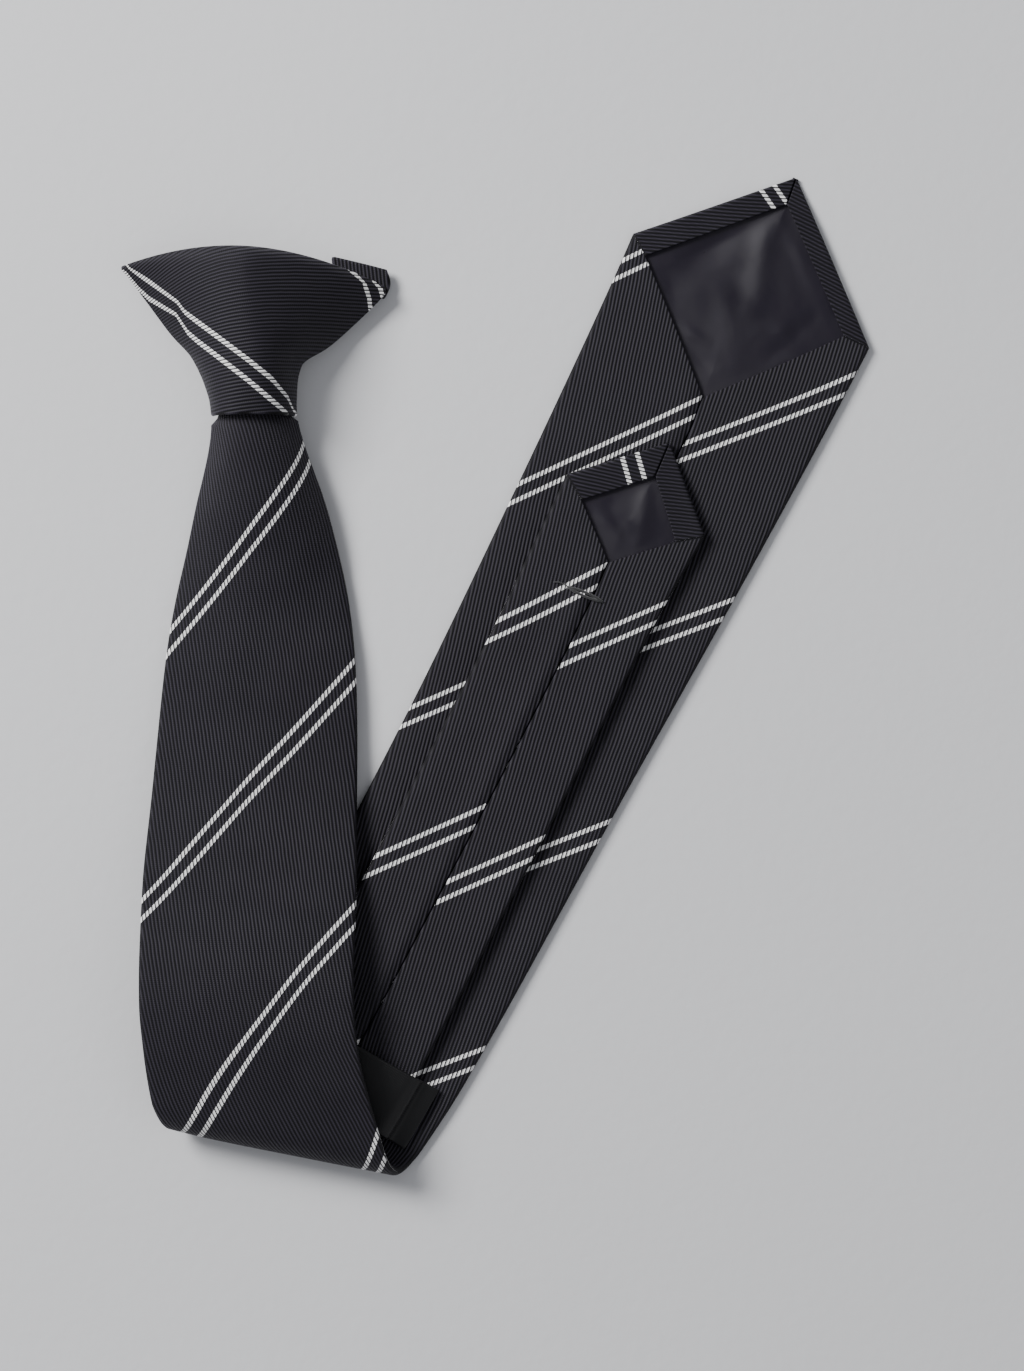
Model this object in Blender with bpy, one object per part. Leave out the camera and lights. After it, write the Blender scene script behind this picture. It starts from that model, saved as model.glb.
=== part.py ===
"""Clip-on necktie lying on its back on a flat surface, folded over once.

Units are metres and +Z is up. The tie is drawn first as a flat strip: v runs along it from the
broad point, u runs across it and h is the depth below its face. The strip is then laid on the
table and rolled over a slanted fold line, so that both blades keep their spacing all the way.
"""
import math

import bmesh
import bpy
import numpy as np

for old in list(bpy.data.objects):
    bpy.data.objects.remove(old, do_unlink=True)

# Main sizes of the tie.
TIE_LENGTH = 0.5416         # broad point to the knot's mouth, along the cloth
WIDE_WIDTH = 0.076          # broad blade at its shoulders
WIDE_DEPTH = 0.0026         # broad blade pressed flat, both layers
WIDE_CLOTH = 0.0010         # one layer with its interlining
WIDE_OPENING = 0.0692       # point to where the flaps meet
TAIL_START = 0.0854         # broad point to the tail's point
TAIL_WIDTH = 0.0440
TAIL_DEPTH = 0.0024
TAIL_CLOTH = 0.0010
TAIL_OPENING = 0.0389
SEAM_GAP = 0.0005
SEAM_LIFT = 0.0005          # the left flap's edge stands proud of the right one
SEAM_CLOSING = 0.0041       # the lift starts this far before the flaps meet
SEAM_TUCK = 0.4             # the right flap's edge lies lower by this share of the lift
TIPPING_CLOTH = 0.0010
TIPPING_INSET = 0.00051     # from the satin to the hems and flaps, measured across the blade
TIPPING_DIP = 0.00015
PIECE_GAP = 0.0003

# Corners of the blades' points, seen on their backs.
WIDE_POINT = (  # corner, share of WIDE_WIDTH right of the middle, share of WIDE_OPENING
    ("point", -0.025, 0.000),
    ("left shoulder", -0.500, 0.503),
    ("right shoulder", 0.500, 0.520),
    ("opening", -0.016, 0.120),
    ("left corner", -0.424, 0.568),
    ("right corner", 0.392, 0.520),
    ("end", 0.011, 1.000),
)
TAIL_POINT = (  # corner, share of TAIL_WIDTH right of the middle, share of TAIL_OPENING
    ("point", 0.009, 0.000),
    ("left shoulder", -0.497, 0.557),
    ("right shoulder", 0.497, 0.501),
    ("opening", 0.025, 0.274),
    ("left corner", -0.333, 0.680),
    ("right corner", 0.343, 0.639),
    ("end", 0.017, 1.000),
)
POINT_START = 0.0016        # the first section stands this far from the point
POINT_RUN_OUT = 0.0060      # the last one this far past the place where the flaps meet

# How the tie lies.
FOLD_START = 0.3110         # along the cloth from the point to where the roll leaves the table
FOLD_TILT = 11.2            # degrees that the fold line drops to the right
FOLD_RADIUS = 0.0072
PUFF = 0.0050               # how far the upper layer swells above the roll
MOUTH_INSET = 0.0090        # length of the blade inside the knot

# Keeper band across the tail.
KEEPER_START = 0.2820
KEEPER_LENGTH = 0.0178
KEEPER_SPAN = 0.0510
KEEPER_OFFSET = 0.0006      # right of the strip's middle
KEEPER_CLOTH = 0.0010
KEEPER_STEP = (  # distance past the tail's edge, share of the step's height
    (-0.0020, 1.00),
    (-0.0006, 0.92),
    (0.0005, 0.50),
    (0.0016, 0.05),
)

# Knot and clip.
KNOT_WIDTH = 0.0780
KNOT_HEIGHT = 0.0490
KNOT_DEPTH = 0.0236
KNOT_CLOTH = 0.0016
BACK_FOLD_CLOTH = 0.0015
BACK_FOLD_PLAN = (  # corner, shares of KNOT_WIDTH and KNOT_HEIGHT from the mouth's middle
    ("upper left", 0.292, 0.936),
    ("upper right", 0.486, 0.862),
    ("lower right", 0.478, 0.710),
    ("lower left", 0.300, 0.808),
)
BACK_FOLD_LEVEL = 0.148     # height of its upper face as a share of KNOT_DEPTH
BACK_FOLD_SWELL = 0.018     # more of it midway along
BACK_FOLD_BOW = 0.014       # how far its right end bows out, as a share of KNOT_WIDTH
BACK_FOLD_ROUNDING = 0.3    # share of its cloth taken off each rim
CLIP_LENGTH = 0.673 * KNOT_HEIGHT
CLIP_WIDTH = 0.385 * KNOT_WIDTH
CLIP_FORMER = 0.0060        # height of the former's flat top
CLIP_FOOT = 0.16            # where the clip starts, as a share of KNOT_HEIGHT from the mouth
CLIP_CENTRE = 0.52          # where the former narrows to, as a share of CLIP_LENGTH
CLIP_SHOULDER = (0.62, 0.0002)      # size of the former's foot and its height above the plate
CLIP_TOP = 0.50             # size of the former's top
CLIP_PLAN = (  # share of CLIP_WIDTH, share of CLIP_LENGTH
    (-0.44, 0.10),
    (0.38, 0.10),
    (0.42, 0.26),
    (0.50, 0.55),
    (0.50, 0.93),
    (0.42, 1.00),
    (0.14, 1.00),
    (0.14, 0.90),
    (-0.14, 0.90),
    (-0.14, 1.00),
    (-0.42, 1.00),
    (-0.50, 0.93),
    (-0.50, 0.55),
)

# Heading of the strip before it is rolled over, in degrees left of straight down.
COURSE_ROWS = (  # share of TIE_LENGTH, heading
    (0.000, 24.5),
    (0.064, 25.0),
    (0.110, 26.4),
    (0.219, 27.2),
    (0.347, 27.8),
    (0.439, 28.2),
    (0.512, 28.8),
    (0.540, 30.5),
    (0.570, 34.5),
    (0.605, 38.5),
    (0.635, 36.5),
    (0.660, 30.0),
    (0.690, 23.6),
    (0.720, 20.8),
    (0.800, 19.6),
    (0.870, 20.6),
    (0.920, 22.6),
    (0.960, 25.5),
    (1.000, 27.5),
)
# Width of the broad blade as seen from above and how far its edges turn down.
WIDE_ROWS = (  # share of TIE_LENGTH, share of WIDE_WIDTH, edge angle in degrees
    (0.0667, 1.000, 0.0),
    (0.218, 0.934, 0.0),
    (0.347, 0.880, 0.0),
    (0.530, 0.846, 0.0),
    (0.600, 0.806, 0.0),
    (0.640, 0.808, 4.0),
    (0.680, 0.817, 7.0),
    (0.745, 0.816, 6.0),
    (0.793, 0.786, 6.0),
    (0.847, 0.751, 8.0),
    (0.874, 0.722, 11.0),
    (0.900, 0.673, 18.0),
    (0.927, 0.595, 29.0),
    (0.954, 0.504, 45.0),
    (0.972, 0.426, 57.0),
    (0.983, 0.380, 64.0),
    (0.992, 0.350, 68.0),
    (0.9950, 0.339, 69.0),
    (0.9983, 0.276, 70.0),
    (1.003, 0.266, 70.0),
    (1.020, 0.262, 70.0),
)
# Cloth width of the tail and how far its middle lies from the broad blade's middle.
TAIL_ROWS = (  # share of TIE_LENGTH, share of TAIL_WIDTH, offset as a share of TAIL_WIDTH
    (0.1955, 0.994, -0.053),
    (0.240, 0.955, -0.060),
    (0.290, 0.932, -0.050),
    (0.600, 0.932, -0.030),
    (0.790, 0.932, 0.000),
    (0.850, 0.860, 0.000),
    (0.885, 0.720, 0.000),
    (0.915, 0.580, 0.000),
    (0.945, 0.450, 0.000),
    (0.975, 0.370, 0.000),
    (1.020, 0.330, 0.000),
)
# Height of the upper layer past the roll: share of the drop from the roll's top to the lying
# height that is still to come, and share of PUFF.
RISE_ROWS = (  # share of the run past the roll, level, puff
    (-0.030, 1.00, 0.00),
    (0.000, 1.00, 0.16),
    (0.040, 1.00, 0.48),
    (0.080, 1.00, 0.78),
    (0.140, 1.00, 1.00),
    (0.200, 1.00, 0.84),
    (0.255, 1.00, 0.42),
    (0.307, 0.94, 0.10),
    (0.377, 0.66, 0.00),
    (0.470, 0.26, 0.00),
    (0.590, 0.06, 0.00),
    (0.717, 0.06, 0.00),
    (0.790, 0.22, 0.00),
    (0.850, 0.56, 0.00),
    (0.920, 0.90, 0.00),
    (0.980, 1.06, 0.00),
    (1.060, 1.06, 0.00),
)
# Cross rows of the knot from its mouth to the rim behind its top edge. Plan columns are shares
# of KNOT_WIDTH and KNOT_HEIGHT from the mouth's middle, heights are shares of KNOT_DEPTH.
KNOT_ROWS = (  # row, left x, left y, crest x, crest y, right x, right y, crest, edge, fullness, tip
    (0.0, -0.161, 0.000, 0.000, 0.000, 0.161, 0.000, 0.760, 0.13, 2.6, 0.40),
    (1.0, -0.167, 0.080, 0.000, 0.080, 0.160, 0.075, 0.810, 0.13, 2.5, 0.42),
    (2.0, -0.188, 0.190, 0.000, 0.210, 0.163, 0.190, 0.880, 0.14, 2.3, 0.48),
    (3.0, -0.236, 0.345, -0.005, 0.390, 0.180, 0.300, 0.945, 0.16, 2.1, 0.60),
    (4.0, -0.310, 0.475, -0.012, 0.560, 0.278, 0.405, 0.985, 0.18, 1.9, 0.80),
    (5.0, -0.400, 0.670, -0.020, 0.730, 0.384, 0.556, 1.000, 0.20, 1.7, 1.05),
    (6.0, -0.470, 0.820, -0.026, 0.880, 0.464, 0.682, 0.950, 0.22, 1.6, 1.20),
    (7.0, -0.494, 0.866, -0.016, 0.957, 0.489, 0.732, 0.850, 0.23, 1.6, 1.20),
    (8.0, -0.496, 0.885, -0.016, 0.990, 0.488, 0.764, 0.700, 0.20, 1.6, 1.10),
    (9.0, -0.486, 0.892, -0.016, 0.985, 0.478, 0.772, 0.540, 0.17, 1.6, 1.00),
)
KNOT_STEPS = 19
KNOT_COLUMNS = 20

EDGE_STEPS = 4              # facets round a folded edge
FLAP_SHARES = (0.0, 0.18, 0.55)     # places across a flap, from its free edge
WIDE_FACE_STEPS = 5
TAIL_FACE_STEPS = 4
TIPPING_COLUMNS = 7
# Stations of the sections, as shares of TIE_LENGTH.
BACK_STATIONS = (0.170, 0.215, 0.260, 0.305, 0.350, 0.395, 0.440, 0.480, 0.510, 0.530)
FRONT_STATIONS = (0.668, 0.685, 0.702, 0.720, 0.742, 0.770, 0.800, 0.830, 0.850, 0.866, 0.881,
                  0.896, 0.911, 0.926, 0.940, 0.954, 0.967, 0.979, 0.987, 0.9950, 0.9983, 1.006)
ROLL_STATIONS = np.linspace(0.545, 0.655, 22)
# How far the sections turn to follow the fold line in the roll, and the knot's mouth at the end.
SKEW_ROWS = (  # share of TIE_LENGTH, share along the fold line, share along the mouth
    (0.460, 0.0, 0.0),
    (0.545, 1.0, 0.0),
    (0.645, 1.0, 0.0),
    (0.720, 0.0, 0.0),
    (0.890, 0.0, 0.0),
    (0.965, 0.0, 1.0),
    (1.020, 0.0, 1.0),
)


def blend(rows, at):
    """Value columns of a table at one place or many, without overshoot between its rows."""
    table = np.array(rows, dtype=float)
    keys = table[:, 0]
    values = table[:, 1:]
    steps = np.diff(keys)[:, None]
    slopes = np.diff(values, axis=0) / steps
    tangents = np.zeros_like(values)
    same = slopes[1:] * slopes[:-1] > 0
    safe = np.where(same, slopes[1:] + slopes[:-1], 1.0)
    tangents[1:-1] = np.where(same, 2.0 * slopes[1:] * slopes[:-1] / safe, 0.0)
    tangents[0] = slopes[0]
    tangents[-1] = slopes[-1]
    place = np.clip(np.atleast_1d(at), keys[0], keys[-1])
    low = np.clip(np.searchsorted(keys, place, side="right") - 1, 0, len(keys) - 2)
    part = ((place - keys[low]) / steps[low, 0])[:, None]
    size = steps[low]
    return ((2 * part ** 3 - 3 * part ** 2 + 1) * values[low]
            + (part ** 3 - 2 * part ** 2 + part) * size * tangents[low]
            + (3 * part ** 2 - 2 * part ** 3) * values[low + 1]
            + (part ** 3 - part ** 2) * size * tangents[low + 1])


# The strip's middle line on the table before it is rolled over.
COURSE_V = np.linspace(0.0, TIE_LENGTH + 0.03, 1200)
COURSE_HEADING = np.radians(blend(COURSE_ROWS, COURSE_V / TIE_LENGTH)[:, 0])
COURSE_STEP = COURSE_V[1] - COURSE_V[0]
COURSE_X = -np.concatenate(([0.0], np.cumsum(np.sin(COURSE_HEADING[1:])))) * COURSE_STEP
COURSE_Y = -np.concatenate(([0.0], np.cumsum(np.cos(COURSE_HEADING[1:])))) * COURSE_STEP

TILT = math.radians(FOLD_TILT)
FOLD_ALONG = np.array((math.cos(TILT), -math.sin(TILT)))
FOLD_OUT = np.array((-math.sin(TILT), -math.cos(TILT)))
FOLD_AT = np.array((np.interp(FOLD_START, COURSE_V, COURSE_X),
                    np.interp(FOLD_START, COURSE_V, COURSE_Y)))
ROLL_ARC = math.pi * FOLD_RADIUS
STACK = WIDE_DEPTH + SEAM_LIFT + PIECE_GAP + TAIL_DEPTH + SEAM_LIFT
TAIL_TOP = WIDE_DEPTH + SEAM_LIFT + PIECE_GAP
LYING_HEIGHT = STACK + PIECE_GAP


def course(v):
    """Middle point and heading of the strip at a distance along it."""
    return (np.interp(v, COURSE_V, COURSE_X), np.interp(v, COURSE_V, COURSE_Y),
            np.interp(v, COURSE_V, COURSE_HEADING))


def past_fold(v):
    """Distance of the strip's middle past the line where the roll starts."""
    x, y, _ = course(v)
    return (x - FOLD_AT[0]) * FOLD_OUT[0] + (y - FOLD_AT[1]) * FOLD_OUT[1]


FRONT_RUN = float(past_fold(TIE_LENGTH)) - ROLL_ARC


def wide_half(v):
    """Half the broad blade's width as seen from above."""
    return 0.5 * WIDE_WIDTH * blend(WIDE_ROWS, v / TIE_LENGTH)[:, 0]


def arch_radius(v):
    """Radius of the crown across the strip; very large where it lies flat."""
    angle = np.radians(np.maximum(blend(WIDE_ROWS, v / TIE_LENGTH)[:, 1], 0.05))
    return wide_half(v) / np.sin(angle)


def wide_cloth_half(v):
    """Half the broad blade's width measured round its crown."""
    angle = np.radians(np.maximum(blend(WIDE_ROWS, v / TIE_LENGTH)[:, 1], 0.05))
    return arch_radius(v) * angle


def to_space(u, v, h, top):
    """Place strip points: across u, along v, depth h; top is the depth of the piece's own face."""
    radius = arch_radius(v)
    turn = u / (radius - top)
    across = (radius - h) * np.sin(turn)
    depth = radius - (radius - h) * np.cos(turn)
    x, y, heading = course(v)
    x = x + across * np.cos(heading) - FOLD_AT[0]
    y = y - across * np.sin(heading) - FOLD_AT[1]
    along = x * FOLD_ALONG[0] + y * FOLD_ALONG[1]
    out = x * FOLD_OUT[0] + y * FOLD_OUT[1]
    angle = np.clip(out, 0.0, ROLL_ARC) / FOLD_RADIUS
    reach = FOLD_RADIUS - depth
    rise = blend(RISE_ROWS, (out - ROLL_ARC) / FRONT_RUN)
    level = (rise[:, 0] - 1.0) * (2.0 * FOLD_RADIUS - LYING_HEIGHT) + rise[:, 1] * PUFF
    rolled_out = np.minimum(out, 0.0) + reach * np.sin(angle) - np.maximum(out - ROLL_ARC, 0.0)
    height = FOLD_RADIUS - reach * np.cos(angle) + level * (out > 0.5 * ROLL_ARC)
    return np.stack((along * FOLD_ALONG[0] + rolled_out * FOLD_OUT[0],
                     along * FOLD_ALONG[1] + rolled_out * FOLD_OUT[1], height), axis=1)


def skewed(v, u):
    """Station of a section point, turned with its section towards the fold line or the mouth."""
    fold, mouth = blend(SKEW_ROWS, np.array([v / TIE_LENGTH]))[0]
    heading = float(course(v)[2])
    return v - (fold * math.tan(heading - TILT) + mouth * math.tan(heading - 2.0 * TILT)) * u


def point_corners(rows, width, opening_end):
    """Corners of a blade's point in metres: across from the blade's middle, and from the point."""
    return {name: (across * width, along * opening_end) for name, across, along in rows}


WIDE_CORNERS = point_corners(WIDE_POINT, WIDE_WIDTH, WIDE_OPENING)
TAIL_CORNERS = point_corners(TAIL_POINT, TAIL_WIDTH, TAIL_OPENING)


def outline(corners, distance, full):
    """Left and right edge of a blade at a distance from its point; full is half its full width."""
    tip = corners["point"][0]
    left, left_at = corners["left shoulder"]
    right, right_at = corners["right shoulder"]
    return (max(-full, tip + (left - tip) * distance / left_at),
            min(full, tip + (right - tip) * distance / right_at))


def opening(corners, distance):
    """Left and right edge of the gap between the hems or flaps at a distance from the point."""
    edges = []
    for side, corner in ((-1.0, "left corner"), (1.0, "right corner")):
        stops = [corners[name] for name in ("point", "opening", corner, "end")]
        across = np.interp(distance, [s[1] for s in stops], [s[0] for s in stops])
        edges.append(float(across) + 0.5 * side * SEAM_GAP)
    return edges


def half_section(edges, gaps, depth, cloth, lift, face_steps):
    """Outer and inner lines of a folded blade, from the left flap's edge round to the right's."""
    edge = 0.5 * depth
    left = edges[0] + edge
    right = edges[1] - edge
    left_gap = max(gaps[0], left + 0.5 * SEAM_GAP)
    right_gap = min(gaps[1], right - 0.5 * SEAM_GAP)
    flap = np.array(FLAP_SHARES)
    rise = 1.0 - flap / FLAP_SHARES[-1]
    turn = np.linspace(0.5 * math.pi, 1.5 * math.pi, EDGE_STEPS + 1)
    face_u = np.linspace(left, right, face_steps + 1)[1:-1]
    lines = []
    for inset in (0.0, cloth):
        bend = edge - inset
        arc_u = bend * np.cos(turn)
        arc_h = edge + bend * np.sin(turn)
        u = np.concatenate((left_gap + (left - left_gap) * flap, left + arc_u, face_u,
                            right - arc_u[::-1], (right_gap + (right - right_gap) * flap)[::-1]))
        h = np.concatenate((depth - inset + lift * rise, arc_h, np.full(len(face_u), inset),
                            arc_h[::-1], (depth - inset - SEAM_TUCK * lift * rise)[::-1]))
        lines.append((u, h))
    return lines


def make_mesh(name, points, faces, colour, roughness, smooth):
    """One named solid with its own material."""
    mesh = bpy.data.meshes.new(name)
    mesh.from_pydata([tuple(float(c) for c in p) for p in points], [], faces)
    shape = bmesh.new()
    shape.from_mesh(mesh)
    bmesh.ops.triangulate(shape, faces=shape.faces[:])
    bmesh.ops.recalc_face_normals(shape, faces=shape.faces[:])
    if shape.calc_volume(signed=True) < 0.0:
        bmesh.ops.reverse_faces(shape, faces=shape.faces[:])
    shape.to_mesh(mesh)
    shape.free()
    if smooth:
        for face in mesh.polygons:
            face.use_smooth = True
    material = bpy.data.materials.new(name)
    material.use_nodes = True
    shader = material.node_tree.nodes["Principled BSDF"]
    shader.inputs["Base Color"].default_value = (*colour, 1.0)
    shader.inputs["Roughness"].default_value = roughness
    shader.inputs["Metallic"].default_value = 0.0
    mesh.materials.append(material)
    made = bpy.data.objects.new(name, mesh)
    bpy.context.collection.objects.link(made)
    return made


def ring_faces(sections, size):
    """Faces of a tube whose sections are thin loops: outer line, then inner line backwards."""
    ring = 2 * size
    faces = []
    for row in range(sections - 1):
        for k in range(ring):
            n = (k + 1) % ring
            faces.append((row * ring + k, row * ring + n, (row + 1) * ring + n, (row + 1) * ring + k))
    for row in (0, sections - 1):
        for k in range(size - 1):
            a = row * ring + k
            faces.append((a, a + 1, row * ring + ring - 2 - k, row * ring + ring - 1 - k))
    return faces


def wide_full(v):
    """Half the broad blade's cloth width past its shoulders."""
    return float(wide_cloth_half(np.array([v]))[0])


def tail_full(v):
    """Half the tail's cloth width past its shoulders."""
    return 0.5 * TAIL_WIDTH * float(blend(TAIL_ROWS, v / TIE_LENGTH)[0, 0])


def tail_offset(v):
    """Distance of the tail's middle from the broad blade's middle."""
    return TAIL_WIDTH * float(blend(TAIL_ROWS, v / TIE_LENGTH)[0, 1])


def no_offset(_v):
    """The broad blade lies on the strip's own middle."""
    return 0.0


BLADES = {  # start, corners, half width, offset, depth, cloth, top, face steps
    "wide": (0.0, WIDE_CORNERS, wide_full, no_offset, WIDE_DEPTH, WIDE_CLOTH, 0.0, WIDE_FACE_STEPS),
    "tail": (TAIL_START, TAIL_CORNERS, tail_full, tail_offset, TAIL_DEPTH, TAIL_CLOTH, TAIL_TOP,
             TAIL_FACE_STEPS),
}
SHARED = [s * TIE_LENGTH for s in (*BACK_STATIONS, *ROLL_STATIONS, *FRONT_STATIONS)]
END = TIE_LENGTH + MOUTH_INSET


def blade_stations(start, corners):
    """Places along the strip at which a blade's sections stand."""
    first = corners["opening"][1]
    last = corners["end"][1]
    bends = sorted(corners[c][1] for c in corners if "shoulder" in c or "corner" in c)
    near = sorted((POINT_START, 0.5 * first, first, 0.5 * (first + bends[0]), *bends,
                   0.5 * (bends[-1] + last), last - SEAM_CLOSING, last, last + POINT_RUN_OUT))
    near = [start + d for k, d in enumerate(near) if k == 0 or d - near[k - 1] > PIECE_GAP]
    return near + [v for v in SHARED if near[-1] + SEAM_CLOSING < v < END] + [END]


def blade(name, kind):
    """A folded blade from its point to its end inside the knot."""
    start, corners, full_at, offset_at, depth, cloth, top, face_steps = BLADES[kind]
    stations = blade_stations(start, corners)
    points = []
    for v in stations:
        distance = v - start
        lift = SEAM_LIFT if distance > corners["end"][1] - 0.5 * SEAM_CLOSING else 0.0
        lines = half_section(outline(corners, distance, full_at(v)), opening(corners, distance),
                             depth, cloth, lift, face_steps)
        u = np.concatenate((lines[0][0], lines[1][0][::-1])) + offset_at(v)
        h = np.concatenate((lines[0][1], lines[1][1][::-1])) + top
        points.extend(to_space(u, skewed(v, u), h, top))
    size = len(points) // len(stations) // 2
    return make_mesh(name, points, ring_faces(len(stations), size), CHARCOAL, 0.78, True)


CHARCOAL = (0.021, 0.020, 0.024)
SATIN = (0.018, 0.014, 0.024)
BLACK_SATIN = (0.008, 0.008, 0.009)
PLASTIC = (0.012, 0.012, 0.012)

blade("wide_blade", "wide")
blade("tail_blade", "tail")


def slab_faces(rows, columns):
    """Faces of a thick sheet: its upper grid of points, then its lower grid."""
    lower = rows * columns
    faces = []
    for r in range(rows - 1):
        for c in range(columns - 1):
            a = r * columns + c
            b = a + columns
            faces.append((a, a + 1, b + 1, b))
            faces.append((lower + a, lower + b, lower + b + 1, lower + a + 1))
    for r in range(rows - 1):
        for c in (0, columns - 1):
            a = r * columns + c
            b = a + columns
            faces.append((a, b, lower + b, lower + a))
    for c in range(columns - 1):
        for r in (0, rows - 1):
            a = r * columns + c
            faces.append((a, a + 1, lower + a + 1, lower + a))
    return faces


def tipping(name, kind):
    """The satin panel that shows between the hems and the flaps of a point."""
    start, corners, _, offset_at, _, cloth, top, _ = BLADES[kind]
    low, high = sorted((corners["left corner"][1], corners["right corner"][1]))
    distances = (*np.linspace(corners["opening"][1] + 2.0 * TIPPING_INSET, low, 5), high,
                 *np.linspace(high, corners["end"][1] - 3.0 * TIPPING_INSET, 5)[1:])
    across = np.linspace(0.0, 1.0, TIPPING_COLUMNS)
    dip = TIPPING_DIP * (2.0 * across - 1.0) ** 2
    face = top + cloth + PIECE_GAP
    upper = []
    lower = []
    for d in distances:
        v = np.full(TIPPING_COLUMNS, start + d)
        left, right = opening(corners, d)
        left += TIPPING_INSET
        right -= TIPPING_INSET
        u = left + (right - left) * across + offset_at(start + d)
        upper.extend(to_space(u, v, face + TIPPING_CLOTH - dip, top))
        lower.extend(to_space(u, v, np.full(TIPPING_COLUMNS, face), top))
    return make_mesh(name, upper + lower, slab_faces(len(distances), TIPPING_COLUMNS), SATIN, 0.42, True)


tipping("wide_tipping", "wide")
tipping("tail_tipping", "tail")


def keeper_loop():
    """The band over the tail: flat across it, stepping down to the broad blade at both ends."""
    tail_side = tail_full(KEEPER_START) + PIECE_GAP
    middle = tail_offset(KEEPER_START)
    high = TAIL_TOP + TAIL_DEPTH + SEAM_LIFT + PIECE_GAP
    low = WIDE_DEPTH + PIECE_GAP

    def half_line(side):
        """The band's under side from the tail's middle out to one end."""
        step = [(tail_side + past, low + share * (high - low)) for past, share in KEEPER_STEP]
        return [(0.0, high), (0.5 * tail_side, high), *step, (side, low)]

    left = half_line(0.5 * KEEPER_SPAN - KEEPER_OFFSET + middle)
    right = half_line(0.5 * KEEPER_SPAN + KEEPER_OFFSET - middle)
    line = [(-a, b) for a, b in left[:0:-1]] + right
    u = np.array([p[0] for p in line])
    h = np.array([p[1] for p in line])
    slope_u = np.gradient(u)
    slope_h = np.gradient(h)
    length = np.hypot(slope_u, slope_h)
    outer_u = u - KEEPER_CLOTH * slope_h / length
    outer_h = h + KEEPER_CLOTH * slope_u / length
    upper = []
    lower = []
    rows = np.linspace(KEEPER_START, KEEPER_START + KEEPER_LENGTH, 4)
    for v in rows:
        upper.extend(to_space(outer_u + middle, np.full(len(u), v), outer_h, 0.0))
        lower.extend(to_space(u + middle, np.full(len(u), v), h, 0.0))
    return make_mesh("keeper_loop", upper + lower, slab_faces(len(rows), len(u)), BLACK_SATIN, 0.38, True)


keeper_loop()

# The knot stands where the blades' middle line ends.
mouth_x, mouth_y, _ = course(TIE_LENGTH)
mouth_out = float(past_fold(TIE_LENGTH)) - ROLL_ARC
mouth_along = (mouth_x - FOLD_AT[0]) * FOLD_ALONG[0] + (mouth_y - FOLD_AT[1]) * FOLD_ALONG[1]
MOUTH = mouth_along * FOLD_ALONG - mouth_out * FOLD_OUT


def knot_rows(row):
    """Outer surface of the knot along one cross row."""
    left_x, left_y, mid_x, mid_y, right_x, right_y, crest, edge, power, tip = blend(KNOT_ROWS, row)[0]
    turn = np.linspace(-1.0, 1.0, KNOT_COLUMNS + 1)
    share = np.sin(0.5 * math.pi * turn)
    x = np.where(share < 0.0, mid_x + (mid_x - left_x) * share, mid_x + (right_x - mid_x) * share)
    left = (x - mid_x) * (x - right_x) / ((left_x - mid_x) * (left_x - right_x))
    middle = (x - left_x) * (x - right_x) / ((mid_x - left_x) * (mid_x - right_x))
    right = (x - left_x) * (x - mid_x) / ((right_x - left_x) * (right_x - mid_x))
    y = left * left_y + middle * mid_y + right * right_y
    z = edge + (crest - edge) * (1.0 - np.abs(share) ** power) ** tip
    return np.stack((MOUTH[0] + x * KNOT_WIDTH, MOUTH[1] + y * KNOT_HEIGHT, z * KNOT_DEPTH), axis=1)


def knot_wrap():
    """The wrapped knot: an arched cloth shell, open below and at its mouth."""
    outer = np.array([knot_rows(r) for r in np.linspace(0.0, 9.0, KNOT_STEPS)])
    across = np.gradient(outer, axis=1)
    along = np.gradient(outer, axis=0)
    normal = np.cross(across, along)
    normal /= np.linalg.norm(normal, axis=2)[:, :, None]
    inner = outer - KNOT_CLOTH * normal
    points = np.concatenate((outer.reshape(-1, 3), inner.reshape(-1, 3)))
    return make_mesh("knot_wrap", points, slab_faces(KNOT_STEPS, KNOT_COLUMNS + 1), CHARCOAL, 0.78, True)


knot = knot_wrap()
CLIP_PLATE = min(v.co.z for v in knot.data.vertices) - PIECE_GAP


def knot_back_fold():
    """The wrap's end, folded back behind the right wing and showing past its upper edge."""
    corners = np.array([row[1:] for row in BACK_FOLD_PLAN])
    upper = []
    lower = []
    length_share = np.array((0.0, 0.03, 0.12, 0.35, 0.6, 0.82, 0.95, 1.0))
    width_share = np.array((0.0, 0.05, 0.3, 0.6, 1.0))
    for s in length_share:
        for w in width_share:
            x, y = ((1 - w) * ((1 - s) * corners[0] + s * corners[1])
                    + w * ((1 - s) * corners[3] + s * corners[2]))
            x += BACK_FOLD_BOW * math.sin(math.pi * w) * s ** 6
            base = BACK_FOLD_LEVEL + BACK_FOLD_SWELL * math.sin(math.pi * s)
            on_rim = w == 0.0 or s in (0.0, 1.0)
            rounding = BACK_FOLD_ROUNDING * BACK_FOLD_CLOTH if on_rim else 0.0
            place = (MOUTH[0] + x * KNOT_WIDTH, MOUTH[1] + y * KNOT_HEIGHT)
            upper.append((*place, base * KNOT_DEPTH - rounding))
            lower.append((*place, base * KNOT_DEPTH - BACK_FOLD_CLOTH + rounding))
    faces = slab_faces(len(length_share), len(width_share))
    return make_mesh("knot_back_fold", upper + lower, faces, CHARCOAL, 0.78, True)


knot_back_fold()


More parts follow.
